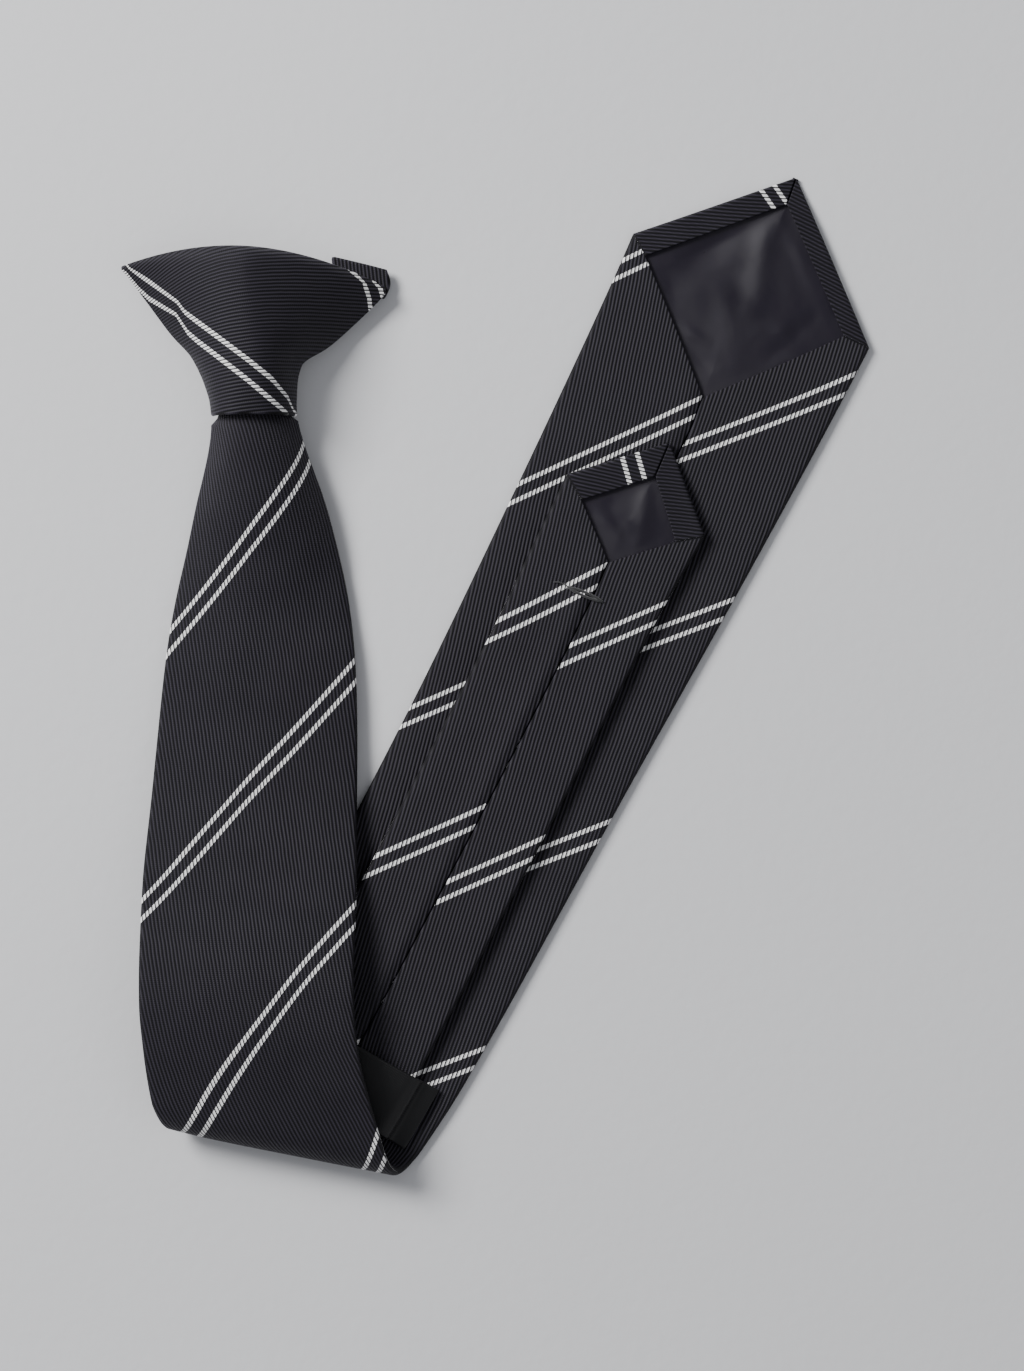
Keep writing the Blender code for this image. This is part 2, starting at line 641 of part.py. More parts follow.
def collar_clip():
    """The hidden holder: a flat plate on the table with a low former that fills the knot."""
    size = len(CLIP_PLAN)
    foot = MOUTH[1] + CLIP_FOOT * KNOT_HEIGHT
    levels = ((1.0, 0.0), (1.0, CLIP_PLATE), (CLIP_SHOULDER[0], CLIP_PLATE + CLIP_SHOULDER[1]),
              (CLIP_TOP, CLIP_FORMER))
    points = []
    for scale, height in levels:
        for x, y in CLIP_PLAN:
            along = CLIP_CENTRE + scale * (y - CLIP_CENTRE)
            points.append((MOUTH[0] + scale * x * CLIP_WIDTH, foot + along * CLIP_LENGTH, height))
    faces = [tuple(range(size))[::-1], tuple(range(3 * size, 4 * size))]
    for level in range(len(levels) - 1):
        for k in range(size):
            n = (k + 1) % size
            a = level * size
            faces.append((a + k, a + n, a + size + n, a + size + k))
    return make_mesh("collar_clip", points, faces, PLASTIC, 0.45, False)


collar_clip()

# The origin goes to the middle of the whole tie's foot.
corners = np.array([v.co[:] for o in bpy.data.objects for v in o.data.vertices])
low = corners.min(axis=0)
high = corners.max(axis=0)
shift = np.array((-0.5 * (low[0] + high[0]), -0.5 * (low[1] + high[1]), -low[2]))
for made in bpy.data.objects:
    for vertex in made.data.vertices:
        vertex.co = [float(c) for c in np.array(vertex.co) + shift]
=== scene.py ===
"""Dressed view of a clip-on necktie lying folded on a pale table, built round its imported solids."""
import math

import bpy
import numpy as np
from bpy.props import FloatProperty, FloatVectorProperty, PointerProperty
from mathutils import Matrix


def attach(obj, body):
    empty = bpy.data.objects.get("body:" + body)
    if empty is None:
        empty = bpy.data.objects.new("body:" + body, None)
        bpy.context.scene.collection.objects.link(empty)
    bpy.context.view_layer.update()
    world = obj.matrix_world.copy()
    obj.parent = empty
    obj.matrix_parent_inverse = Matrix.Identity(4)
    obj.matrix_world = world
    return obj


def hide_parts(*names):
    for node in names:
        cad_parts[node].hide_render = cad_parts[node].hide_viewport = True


bl_info = {
    "name": "Clip-on necktie",
    "version": (1, 0, 0),
    "blender": (4, 5, 0),
    "location": "View3D > Sidebar > Necktie",
    "description": "Cloth, satin, thread and stage for a striped clip-on necktie",
    "category": "Object",
}

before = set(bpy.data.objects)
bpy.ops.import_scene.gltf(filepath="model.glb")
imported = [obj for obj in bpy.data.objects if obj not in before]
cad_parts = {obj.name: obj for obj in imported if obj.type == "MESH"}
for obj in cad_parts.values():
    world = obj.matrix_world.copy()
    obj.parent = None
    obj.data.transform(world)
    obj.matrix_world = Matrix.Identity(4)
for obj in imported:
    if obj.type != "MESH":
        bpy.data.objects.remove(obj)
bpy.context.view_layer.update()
MM = 0.001

# Sizes of the tie, the same as those of its solids.
TIE_LENGTH = 0.5416
WIDE_WIDTH = 0.076
WIDE_DEPTH = 0.0026
WIDE_OPENING = 0.0692
TAIL_START = 0.0854
TAIL_WIDTH = 0.0440
TAIL_DEPTH = 0.0024
TAIL_OPENING = 0.0389
SEAM_LIFT = 0.0005
PIECE_GAP = 0.0003
FOLD_START = 0.3110
FOLD_TILT = 11.2
FOLD_RADIUS = 0.0072
PUFF = 0.0050
MOUTH_INSET = 0.0090
KEEPER_START = 0.2820
KEEPER_LENGTH = 0.0178
KEEPER_SPAN = 0.0510
KEEPER_OFFSET = 0.0006
KNOT_WIDTH = 0.0780
KNOT_HEIGHT = 0.0490
KNOT_DEPTH = 0.0236
FLATTEST_EDGE = 0.05        # degrees, so that the crown's radius stays finite
# The middle of the solids' foot, from the point where the fold starts.
FOOT_X = 0.05475351
FOOT_Y = 0.13170711

# Corners of the points on their backs: share of the blade's width, share of the opening's end.
WIDE_POINT = {"point": (-0.025, 0.000), "left shoulder": (-0.500, 0.503),
              "right shoulder": (0.500, 0.520), "opening": (-0.016, 0.120),
              "left corner": (-0.424, 0.568), "right corner": (0.392, 0.520), "end": (0.011, 1.000)}
TAIL_POINT = {"point": (0.009, 0.000), "left shoulder": (-0.497, 0.557),
              "right shoulder": (0.497, 0.501), "opening": (0.025, 0.274),
              "left corner": (-0.333, 0.680), "right corner": (0.343, 0.639), "end": (0.017, 1.000)}

COURSE_ROWS = (  # share of TIE_LENGTH, heading in degrees left of straight down
    (0.000, 24.5), (0.064, 25.0), (0.110, 26.4), (0.219, 27.2), (0.347, 27.8), (0.439, 28.2),
    (0.512, 28.8), (0.540, 30.5), (0.570, 34.5), (0.605, 38.5), (0.635, 36.5), (0.660, 30.0),
    (0.690, 23.6), (0.720, 20.8), (0.800, 19.6), (0.870, 20.6), (0.920, 22.6), (0.960, 25.5),
    (1.000, 27.5),
)
WIDE_ROWS = (  # share of TIE_LENGTH, share of WIDE_WIDTH, edge angle in degrees
    (0.0667, 1.000, 0.0), (0.218, 0.934, 0.0), (0.347, 0.880, 0.0), (0.530, 0.846, 0.0),
    (0.600, 0.806, 0.0), (0.640, 0.808, 4.0), (0.680, 0.817, 7.0), (0.745, 0.816, 6.0),
    (0.793, 0.786, 6.0), (0.847, 0.751, 8.0), (0.874, 0.722, 11.0), (0.900, 0.673, 18.0),
    (0.927, 0.595, 29.0), (0.954, 0.504, 45.0), (0.972, 0.426, 57.0), (0.983, 0.380, 64.0),
    (0.992, 0.350, 68.0), (0.9983, 0.336, 69.0), (0.9998, 0.276, 70.0), (1.003, 0.266, 70.0),
    (1.020, 0.262, 70.0),
)
TAIL_ROWS = (  # share of TIE_LENGTH, share of TAIL_WIDTH, offset as a share of TAIL_WIDTH
    (0.1955, 0.994, -0.053), (0.240, 0.955, -0.060), (0.290, 0.932, -0.050),
    (0.600, 0.932, -0.030), (0.790, 0.932, 0.000), (0.850, 0.860, 0.000), (0.885, 0.720, 0.000),
    (0.915, 0.580, 0.000), (0.945, 0.450, 0.000), (0.975, 0.370, 0.000), (1.020, 0.330, 0.000),
)
RISE_ROWS = (  # share of the run past the roll, level, share of PUFF
    (-0.030, 1.00, 0.00), (0.000, 1.00, 0.16), (0.040, 1.00, 0.48), (0.080, 1.00, 0.78),
    (0.140, 1.00, 1.00), (0.200, 1.00, 0.84), (0.255, 1.00, 0.42), (0.307, 0.94, 0.10),
    (0.377, 0.66, 0.00), (0.470, 0.26, 0.00), (0.590, 0.06, 0.00), (0.717, 0.06, 0.00),
    (0.790, 0.22, 0.00), (0.850, 0.56, 0.00), (0.920, 0.90, 0.00), (0.980, 1.06, 0.00),
    (1.060, 1.06, 0.00),
)
KNOT_ROWS = (  # row, left x, left y, crest x, crest y, right x, right y, crest, edge, fullness, tip
    (0.0, -0.161, 0.000, 0.000, 0.000, 0.161, 0.000, 0.760, 0.13, 2.6, 0.40),
    (1.0, -0.167, 0.080, 0.000, 0.080, 0.160, 0.075, 0.810, 0.13, 2.5, 0.42),
    (2.0, -0.188, 0.190, 0.000, 0.210, 0.163, 0.190, 0.880, 0.14, 2.3, 0.48),
    (3.0, -0.236, 0.345, -0.005, 0.390, 0.180, 0.300, 0.945, 0.16, 2.1, 0.60),
    (4.0, -0.310, 0.475, -0.012, 0.560, 0.278, 0.405, 0.985, 0.18, 1.9, 0.80),
    (5.0, -0.400, 0.670, -0.020, 0.730, 0.384, 0.556, 1.000, 0.20, 1.7, 1.05),
    (6.0, -0.470, 0.820, -0.026, 0.880, 0.464, 0.682, 0.950, 0.22, 1.6, 1.20),
    (7.0, -0.494, 0.866, -0.016, 0.957, 0.489, 0.732, 0.850, 0.23, 1.6, 1.20),
    (8.0, -0.496, 0.885, -0.016, 0.990, 0.488, 0.764, 0.700, 0.20, 1.6, 1.10),
    (9.0, -0.486, 0.892, -0.016, 0.985, 0.478, 0.772, 0.540, 0.17, 1.6, 1.00),
)
SKEW_ROWS = (  # share of TIE_LENGTH, share along the fold line, share along the knot's mouth
    (0.460, 0.0, 0.0), (0.545, 1.0, 0.0), (0.645, 1.0, 0.0), (0.720, 0.0, 0.0), (0.890, 0.0, 0.0),
    (0.965, 0.0, 1.0), (1.020, 0.0, 1.0),
)

# Weave of the cloth: distances in millimetres, angles in degrees.
STRIPE_REPEAT = 74.0
STRIPE_APART = 3.25         # from a pair's middle to each of its lines, along the tie
STRIPE_SOFT = 0.12          # half the soft border of a line
RIB_LEAN = 11.0
ROLL_STRIPE_ROWS = (  # millimetres across, how far the pair wanders along the tie
    (-36.0, 5.2), (-25.0, 3.6), (-16.0, 1.8), (-7.5, -0.3), (-1.0, -1.5), (6.0, -1.9),
    (17.0, -1.0), (29.0, 0.5), (36.0, 1.2),
)
ROLL_PAST = ((305.0, 335.0), (362.0, 402.0))    # where that wandering comes in and goes out
ROLL_UNDER = ((295.0, 308.0), (322.0, 340.0))   # the pair on the roll's under side
UNDER_DRIFT = 2.4
FRONT_FROM = (388.0, 412.0)     # past it the lines drop towards the face's left edge
FRONT_DRIFT = 0.08
FRONT_EVEN = 3.0
STRIPES = {  # layer: slope, first pair's place, repeat
    "wide face": (1.2, 287.8, 74.0),
    "wide left": (1.2, 92.3, 69.7),
    "wide right": (1.2, 1.9, 75.8),
    "tail face": (1.3, 184.5, 77.0),
    "tail left": (1.3, 184.5, 77.0),
    "tail right": (1.3, 103.0, 77.0),
}


def blend(rows, at):
    """Value columns of a table at one place or many, without overshoot between its rows."""
    table = np.array(rows, dtype=float)
    keys = table[:, 0]
    values = table[:, 1:]
    steps = np.diff(keys)[:, None]
    slopes = np.diff(values, axis=0) / steps
    tangents = np.zeros_like(values)
    same = slopes[1:] * slopes[:-1] > 0
    safe = np.where(same, slopes[1:] + slopes[:-1], 1.0)
    tangents[1:-1] = np.where(same, 2.0 * slopes[1:] * slopes[:-1] / safe, 0.0)
    tangents[0] = slopes[0]
    tangents[-1] = slopes[-1]
    place = np.clip(np.atleast_1d(at), keys[0], keys[-1])
    low = np.clip(np.searchsorted(keys, place, side="right") - 1, 0, len(keys) - 2)
    part = ((place - keys[low]) / steps[low, 0])[:, None]
    size = steps[low]
    return ((2 * part ** 3 - 3 * part ** 2 + 1) * values[low]
            + (part ** 3 - 2 * part ** 2 + part) * size * tangents[low]
            + (3 * part ** 2 - 2 * part ** 3) * values[low + 1]
            + (part ** 3 - part ** 2) * size * tangents[low + 1])


def smooth(low, high, at):
    """Soft step from 0 at low to 1 at high."""
    t = np.clip((np.asarray(at, dtype=float) - low) / (high - low), 0.0, 1.0)
    return t * t * (3.0 - 2.0 * t)


COURSE_V = np.linspace(0.0, TIE_LENGTH + 0.03, 1200)
COURSE_HEADING = np.radians(blend(COURSE_ROWS, COURSE_V / TIE_LENGTH)[:, 0])
COURSE_STEP = COURSE_V[1] - COURSE_V[0]
COURSE_X = -np.concatenate(([0.0], np.cumsum(np.sin(COURSE_HEADING[1:])))) * COURSE_STEP
COURSE_Y = -np.concatenate(([0.0], np.cumsum(np.cos(COURSE_HEADING[1:])))) * COURSE_STEP
TILT = math.radians(FOLD_TILT)
FOLD_ALONG = np.array((math.cos(TILT), -math.sin(TILT)))
FOLD_OUT = np.array((-math.sin(TILT), -math.cos(TILT)))
FOLD_AT = np.array((np.interp(FOLD_START, COURSE_V, COURSE_X),
                    np.interp(FOLD_START, COURSE_V, COURSE_Y)))
ROLL_ARC = math.pi * FOLD_RADIUS
TAIL_TOP = WIDE_DEPTH + SEAM_LIFT + PIECE_GAP
LYING_HEIGHT = TAIL_TOP + TAIL_DEPTH + SEAM_LIFT + PIECE_GAP


def course(v):
    """Middle point and heading of the strip at a distance along it."""
    return (np.interp(v, COURSE_V, COURSE_X), np.interp(v, COURSE_V, COURSE_Y),
            np.interp(v, COURSE_V, COURSE_HEADING))


def past_fold(v):
    """Distance of the strip's middle past the line where the roll starts."""
    x, y, _ = course(v)
    return (x - FOLD_AT[0]) * FOLD_OUT[0] + (y - FOLD_AT[1]) * FOLD_OUT[1]


FRONT_RUN = float(past_fold(TIE_LENGTH)) - ROLL_ARC


def wide_half(v):
    """Half the broad blade's width as seen from above."""
    return 0.5 * WIDE_WIDTH * blend(WIDE_ROWS, v / TIE_LENGTH)[:, 0]


def edge_angle(v):
    """How far the strip's edges turn down, in radians; nearly nothing where it lies flat."""
    return np.radians(np.maximum(blend(WIDE_ROWS, v / TIE_LENGTH)[:, 1], FLATTEST_EDGE))


def arch_radius(v):
    """Radius of the crown across the strip."""
    return wide_half(v) / np.sin(edge_angle(v))


def to_space(u, v, h, top):
    """Place strip points: across u, along v, depth h; top is the depth of the piece's own face."""
    radius = arch_radius(v)
    turn = u / (radius - top)
    across = (radius - h) * np.sin(turn)
    depth = radius - (radius - h) * np.cos(turn)
    x, y, heading = course(v)
    x = x + across * np.cos(heading) - FOLD_AT[0]
    y = y - across * np.sin(heading) - FOLD_AT[1]
    along = x * FOLD_ALONG[0] + y * FOLD_ALONG[1]
    out = x * FOLD_OUT[0] + y * FOLD_OUT[1]
    angle = np.clip(out, 0.0, ROLL_ARC) / FOLD_RADIUS
    reach = FOLD_RADIUS - depth
    rise = blend(RISE_ROWS, (out - ROLL_ARC) / FRONT_RUN)
    level = (rise[:, 0] - 1.0) * (2.0 * FOLD_RADIUS - LYING_HEIGHT) + rise[:, 1] * PUFF
    rolled_out = np.minimum(out, 0.0) + reach * np.sin(angle) - np.maximum(out - ROLL_ARC, 0.0)
    height = FOLD_RADIUS - reach * np.cos(angle) + level * (out > 0.5 * ROLL_ARC)
    return np.stack((along * FOLD_ALONG[0] + rolled_out * FOLD_OUT[0] - FOOT_X,
                     along * FOLD_ALONG[1] + rolled_out * FOLD_OUT[1] - FOOT_Y, height), axis=1)


def skewed(v, u):
    """Station of a section point, turned with its section towards the fold line or the mouth."""
    fold, mouth = blend(SKEW_ROWS, np.array([v / TIE_LENGTH]))[0]
    heading = float(course(v)[2])
    return v - (fold * math.tan(heading - TILT) + mouth * math.tan(heading - 2.0 * TILT)) * u


# Meshes.

RIM_TURNS = np.radians((50.0, 0.0, -50.0))      # points round a sheet's half-round rim
THREAD_END = 0.55           # share of a thread's radius left at its ends
THREAD_TAPER = 6.0          # the full radius is reached at one over this share of the length
THREAD_SIDES = 8


def new_piece(name, points, faces, layers=None, region=None):
    """A smooth-shaded mesh object. Each named layer holds one row of vectors for each region, and
    region tells which row a face takes."""
    mesh = bpy.data.meshes.new(name)
    mesh.from_pydata([tuple(map(float, p)) for p in points], [], faces)
    mesh.polygons.foreach_set("use_smooth", [True] * len(mesh.polygons))
    if layers:
        corner = np.zeros(len(mesh.loops), dtype=np.int32)
        mesh.loops.foreach_get("vertex_index", corner)
        sizes = np.zeros(len(mesh.polygons), dtype=np.int32)
        mesh.polygons.foreach_get("loop_total", sizes)
        part = np.repeat(np.zeros(len(sizes), int) if region is None else np.array(region), sizes)
        for title, values in layers.items():
            data = mesh.attributes.new(title, "FLOAT_VECTOR", "CORNER")
            vectors = np.asarray(values)[part, corner].astype(np.float32)
            data.data.foreach_set("vector", vectors.ravel())
    mesh.validate()
    mesh.update()
    made = bpy.data.objects.new(name, mesh)
    bpy.context.scene.collection.objects.link(made)
    return made


def rounded_sheet(name, outer, thickness, layers):
    """A cloth sheet from its outer grid of points, with a half-round rim all the way round.
    Layers are given for the grid and repeated on the rim and the under side."""
    rows, columns, _ = outer.shape
    across = np.gradient(outer, axis=1)
    along = np.gradient(outer, axis=0)
    normal = np.cross(across, along)
    normal /= np.linalg.norm(normal, axis=2)[:, :, None]
    middle = outer - 0.5 * thickness * normal
    border = ([(0, c) for c in range(columns)] + [(r, columns - 1) for r in range(1, rows)]
              + [(rows - 1, c) for c in range(columns - 2, -1, -1)]
              + [(r, 0) for r in range(rows - 2, 0, -1)])
    index = np.array(border)
    at = (index[:, 0], index[:, 1])
    outward = np.zeros((len(border), 3))
    for way, axis, last in ((along, 0, rows - 1), (across, 1, columns - 1)):
        part = (np.where((index[:, axis] == 0)[:, None], -way[at], 0.0)
                + np.where((index[:, axis] == last)[:, None], way[at], 0.0))
        size = np.linalg.norm(part, axis=1)[:, None]
        outward += part / np.where(size > 0.0, size, 1.0)
    outward -= np.sum(outward * normal[at], axis=1)[:, None] * normal[at]
    outward /= np.linalg.norm(outward, axis=1)[:, None]
    points = [outer.reshape(-1, 3), (outer - thickness * normal).reshape(-1, 3)]
    for turn in RIM_TURNS:
        points.append(middle[at] + 0.5 * thickness * (outward * math.cos(turn)
                                                      + normal[at] * math.sin(turn)))
    grid = rows * columns
    faces = []
    for r in range(rows - 1):
        for c in range(columns - 1):
            a = r * columns + c
            b = a + columns
            faces.append((a, a + 1, b + 1, b))
            faces.append((grid + a, grid + b, grid + b + 1, grid + a + 1))
    flat = index[:, 0] * columns + index[:, 1]
    count = len(border)
    rims = [list(flat), *(list(2 * grid + k * count + np.arange(count))
                          for k in range(len(RIM_TURNS))), list(grid + flat)]
    for first, second in zip(rims[:-1], rims[1:]):
        for k in range(count):
            n = (k + 1) % count
            faces.append((int(first[n]), int(first[k]), int(second[k]), int(second[n])))
    spread = {}
    for title, values in layers.items():
        cells = values.reshape(grid, -1)
        spread[title] = np.concatenate([cells, cells] + [cells[flat]] * len(RIM_TURNS))[None]
    return new_piece(name, np.concatenate(points), faces, spread)


def tube(name, lines, radius):
    """Round threads along lists of points, closed at both ends, as one piece."""
    sides = THREAD_SIDES
    points = []
    faces = []
    for line in lines:
        line = np.array(line, dtype=float)
        count = len(line)
        ahead = np.gradient(line, axis=0)
        ahead /= np.linalg.norm(ahead, axis=1)[:, None]
        up = np.tile((0.0, 0.0, 1.0), (count, 1))
        over = np.cross(ahead, up)
        over /= np.maximum(np.linalg.norm(over, axis=1), 1e-9)[:, None]
        up = np.cross(over, ahead)
        start = len(points)
        for k in range(count):
            share = k / (count - 1)
            taper = min(1.0, THREAD_TAPER * min(share, 1.0 - share))
            size = radius * (THREAD_END + (1.0 - THREAD_END) * taper)
            for s in range(sides):
                turn = 2.0 * math.pi * s / sides
                points.append(line[k] + size * (over[k] * math.cos(turn) + up[k] * math.sin(turn)))
        for k in range(count - 1):
            for s in range(sides):
                n = (s + 1) % sides
                a = start + k * sides
                faces.append((a + s, a + n, a + sides + n, a + sides + s))
        faces.append(tuple(start + s for s in range(sides))[::-1])
        faces.append(tuple(start + (count - 1) * sides + s for s in range(sides)))
    return new_piece(name, points, faces)


# The two blades.

def wide_full(v):
    """Half the broad blade's cloth width past its shoulders."""
    place = np.array([v])
    return float((arch_radius(place) * edge_angle(place))[0])


def tail_full(v):
    """Half the tail's cloth width past its shoulders."""
    return 0.5 * TAIL_WIDTH * float(blend(TAIL_ROWS, v / TIE_LENGTH)[0, 0])


def tail_offset(v):
    """Distance of the tail's middle from the broad blade's middle."""
    return TAIL_WIDTH * float(blend(TAIL_ROWS, v / TIE_LENGTH)[0, 1])


def point_corners(rows, width, opening_end):
    """Corners of a blade's point in metres: across from its middle, and from the point."""
    return {name: (across * width, along * opening_end) for name, (across, along) in rows.items()}


# Seam: how far it moves aside past the opening. Hem ribs: their angle in degrees on the left and
# on the right hem. Hem stripe: slope, middle and half distance in millimetres on the left hem.
BLADES = {
    "wide": {"start": 0.0, "depth": WIDE_DEPTH, "top": 0.0, "full": wide_full,
             "offset": lambda v: 0.0,
             "corners": point_corners(WIDE_POINT, WIDE_WIDTH, WIDE_OPENING), "seam": 0.0010,
             "hem ribs": (4.0, 27.0), "hem stripe": (0.6, 11.2, 2.3)},
    "tail": {"start": TAIL_START, "depth": TAIL_DEPTH, "top": TAIL_TOP, "full": tail_full,
             "offset": tail_offset,
             "corners": point_corners(TAIL_POINT, TAIL_WIDTH, TAIL_OPENING), "seam": 0.0006,
             "hem ribs": (11.0, 4.0), "hem stripe": (1.07, 17.35, 3.25)},
}
FACE_STEPS = 28
FLAP_STEPS = 12
EDGE_STEPS = 8
FACE, LEFT, RIGHT = 0, 1, 2
SEAM_DIP = 0.0008           # how far the left flap's edge rolls down into the seam
SEAM_DIP_WIDTH = 0.0013
SEAM_CLOSES = (-0.004, 0.001)   # run round the opening's end in which the flaps close
SEAM_DRIFT_RUN = 0.011      # run past the opening's end in which the seam moves aside
MITRE_GAP = 0.0004          # between the two hems on the point's mitre
SEAM_CLOSED = 0.00035       # left between the flaps' edges in the seam
LIFT_REACH = 0.45           # share of a flap over which its raised edge comes down
RIGHT_LIFT = 0.35           # share of the lift on the right flap, which lies under the left one
FLAP_CROWDING = 1.5         # crowds a flap's points towards its free edge
TIP_THICKNESS = 0.50        # share of the blade's depth right at the point
TIP_THIN_RUN = 0.012
NARROWEST = 0.0002          # least face beside the rounded edge
GAP_MARGIN = 0.0001
TIP_STATIONS = (0.0004, 0.0009)
TIP_RUN_START = 0.0015
TIP_RUN_PAST = 0.006        # the close stations run on this far past the opening
POINT_RUN = 0.0009
EVEN_RUN = 0.0018           # from one section to the next past the point
LEAST_RUN = 0.0002
NO_HEM = 9.0                # millimetres, stands for far from any hem
EDGE_REACH = 0.5            # the shade at a folded edge fades this much slower than at a hem
EDGE_LEAST = 0.02           # millimetres


def outline(corners, distance, full):
    """Left and right edge of a blade at a distance from its point; full is half its full width."""
    tip = corners["point"][0]
    left, left_at = corners["left shoulder"]
    right, right_at = corners["right shoulder"]
    return (max(-full, tip + (left - tip) * distance / left_at),
            min(full, tip + (right - tip) * distance / right_at))


def opening(corners, distance):
    """Left and right edge of the gap between the hems or flaps at a distance from the point."""
    edges = []
    for corner in ("left corner", "right corner"):
        stops = [corners[name] for name in ("point", "opening", corner, "end")]
        edges.append(float(np.interp(distance, [s[1] for s in stops], [s[0] for s in stops])))
    return edges


def blade_stations(kind):
    """Places along the strip where a blade's sections stand, closest together near its point."""
    start = BLADES[kind]["start"]
    corners = BLADES[kind]["corners"]
    end = corners["end"][1]
    near = [*TIP_STATIONS, *np.arange(TIP_RUN_START, end + TIP_RUN_PAST, POINT_RUN)]
    near = sorted(start + d for d in near + [corner[1] for corner in corners.values()][1:])
    far = list(np.arange(near[-1] + EVEN_RUN, TIE_LENGTH + MOUTH_INSET, EVEN_RUN))
    stations = near + far + [TIE_LENGTH + MOUTH_INSET]
    return [v for k, v in enumerate(stations) if k == 0 or v - stations[k - 1] > LEAST_RUN]


def tuck_distance(kind, side, u, v):
    """Millimetres past the line where a flap covers the end of the hem; below zero on the hem."""
    corners = BLADES[kind]["corners"]
    word = "left" if side == LEFT else "right"
    outer = np.array(corners[f"{word} shoulder"])
    inner = np.array(corners[f"{word} corner"])
    ahead = inner - outer
    line = (u - outer[0]) * -ahead[1] + (v - outer[1]) * ahead[0]
    return np.sign(ahead[0]) * line / np.hypot(*ahead) / MM


def flank(edge_at, bend, edge, side_u, inset, depth, lift, dip):
    """One half of a section's line: the flap from its free edge, then the turned blade edge."""
    flap = np.linspace(0.0, 1.0, FLAP_STEPS + 1)[:-1] ** FLAP_CROWDING
    turn = np.linspace(0.5 * math.pi, 1.5 * math.pi, EDGE_STEPS + 1)
    way = 1.0 if side_u > edge_at else -1.0
    root = side_u - way * edge
    u = np.concatenate((edge_at + (root - edge_at) * flap, root - way * bend * np.cos(turn)))
    from_edge = np.abs(root - edge_at) * flap
    raised = (lift * (1.0 - smooth(0.0, LIFT_REACH, flap))
              - dip * np.exp(-(from_edge / SEAM_DIP_WIDTH) ** 2))
    h = np.concatenate((depth - inset + raised, edge + bend * np.sin(turn)))
    return u, h


def blade_section(kind, v, cloth):
    """Closed outline of one cross section: across, and depth below the face."""
    blade = BLADES[kind]
    corners = blade["corners"]
    distance = v - blade["start"]
    full = blade["full"](v)
    depth = blade["depth"] * (TIP_THICKNESS + (1.0 - TIP_THICKNESS)
                              * float(smooth(0.0, TIP_THIN_RUN, distance)))
    edge = 0.5 * depth
    low, high = outline(corners, distance, full)
    middle = 0.5 * (low + high)
    half = max(0.5 * (high - low), edge + NARROWEST)
    low, high = middle - half, middle + half
    past_end = distance - corners["end"][1]
    closed = float(smooth(*SEAM_CLOSES, past_end))
    drift = blade["seam"] * float(smooth(0.0, SEAM_DRIFT_RUN, past_end))
    left_gap, right_gap = (min(max(edge_at + drift, low + edge + GAP_MARGIN),
                               high - edge - GAP_MARGIN) for edge_at in opening(corners, distance))
    mitre = 0.5 * (MITRE_GAP if distance < corners["opening"][1] else SEAM_CLOSED * closed)
    lift = SEAM_LIFT * closed
    lines = []
    for inset in (0.0, cloth):
        left = flank(left_gap - 0.5 * cloth - mitre, edge - inset, edge, low, inset, depth,
                     lift, SEAM_DIP * closed)
        right = flank(right_gap + 0.5 * cloth + mitre, edge - inset, edge, high, inset, depth,
                      RIGHT_LIFT * lift, 0.0)
        face_u = np.linspace(low + edge, high - edge, FACE_STEPS + 1)[1:-1]
        lines.append((np.concatenate((left[0], face_u, right[0][::-1])),
                      np.concatenate((left[1], np.full(len(face_u), inset), right[1][::-1]))))
    (outer_u, outer_h), (inner_u, inner_h) = lines
    right_cap_u = outer_u[-1] - 0.5 * cloth * np.cos(RIM_TURNS)
    right_cap_h = 0.5 * (outer_h[-1] + inner_h[-1]) + 0.5 * cloth * np.sin(RIM_TURNS)
    left_cap_u = outer_u[0] + 0.5 * cloth * np.cos(RIM_TURNS[::-1])
    left_cap_h = 0.5 * (outer_h[0] + inner_h[0]) + 0.5 * cloth * np.sin(RIM_TURNS[::-1])
    u = np.concatenate((outer_u, right_cap_u, inner_u[::-1], left_cap_u))
    h = np.concatenate((outer_h, right_cap_h, inner_h[::-1], left_cap_h))
    return u, h, full


def blade_regions():
    """Which layer each side of a section's outline belongs to."""
    flap = FLAP_STEPS + EDGE_STEPS // 2
    face = (EDGE_STEPS - EDGE_STEPS // 2) * 2 + FACE_STEPS
    rim = len(RIM_TURNS) + 1
    one_way = [LEFT] * flap + [FACE] * face + [RIGHT] * flap
    return one_way + [RIGHT] * rim + one_way[::-1] + [LEFT] * rim


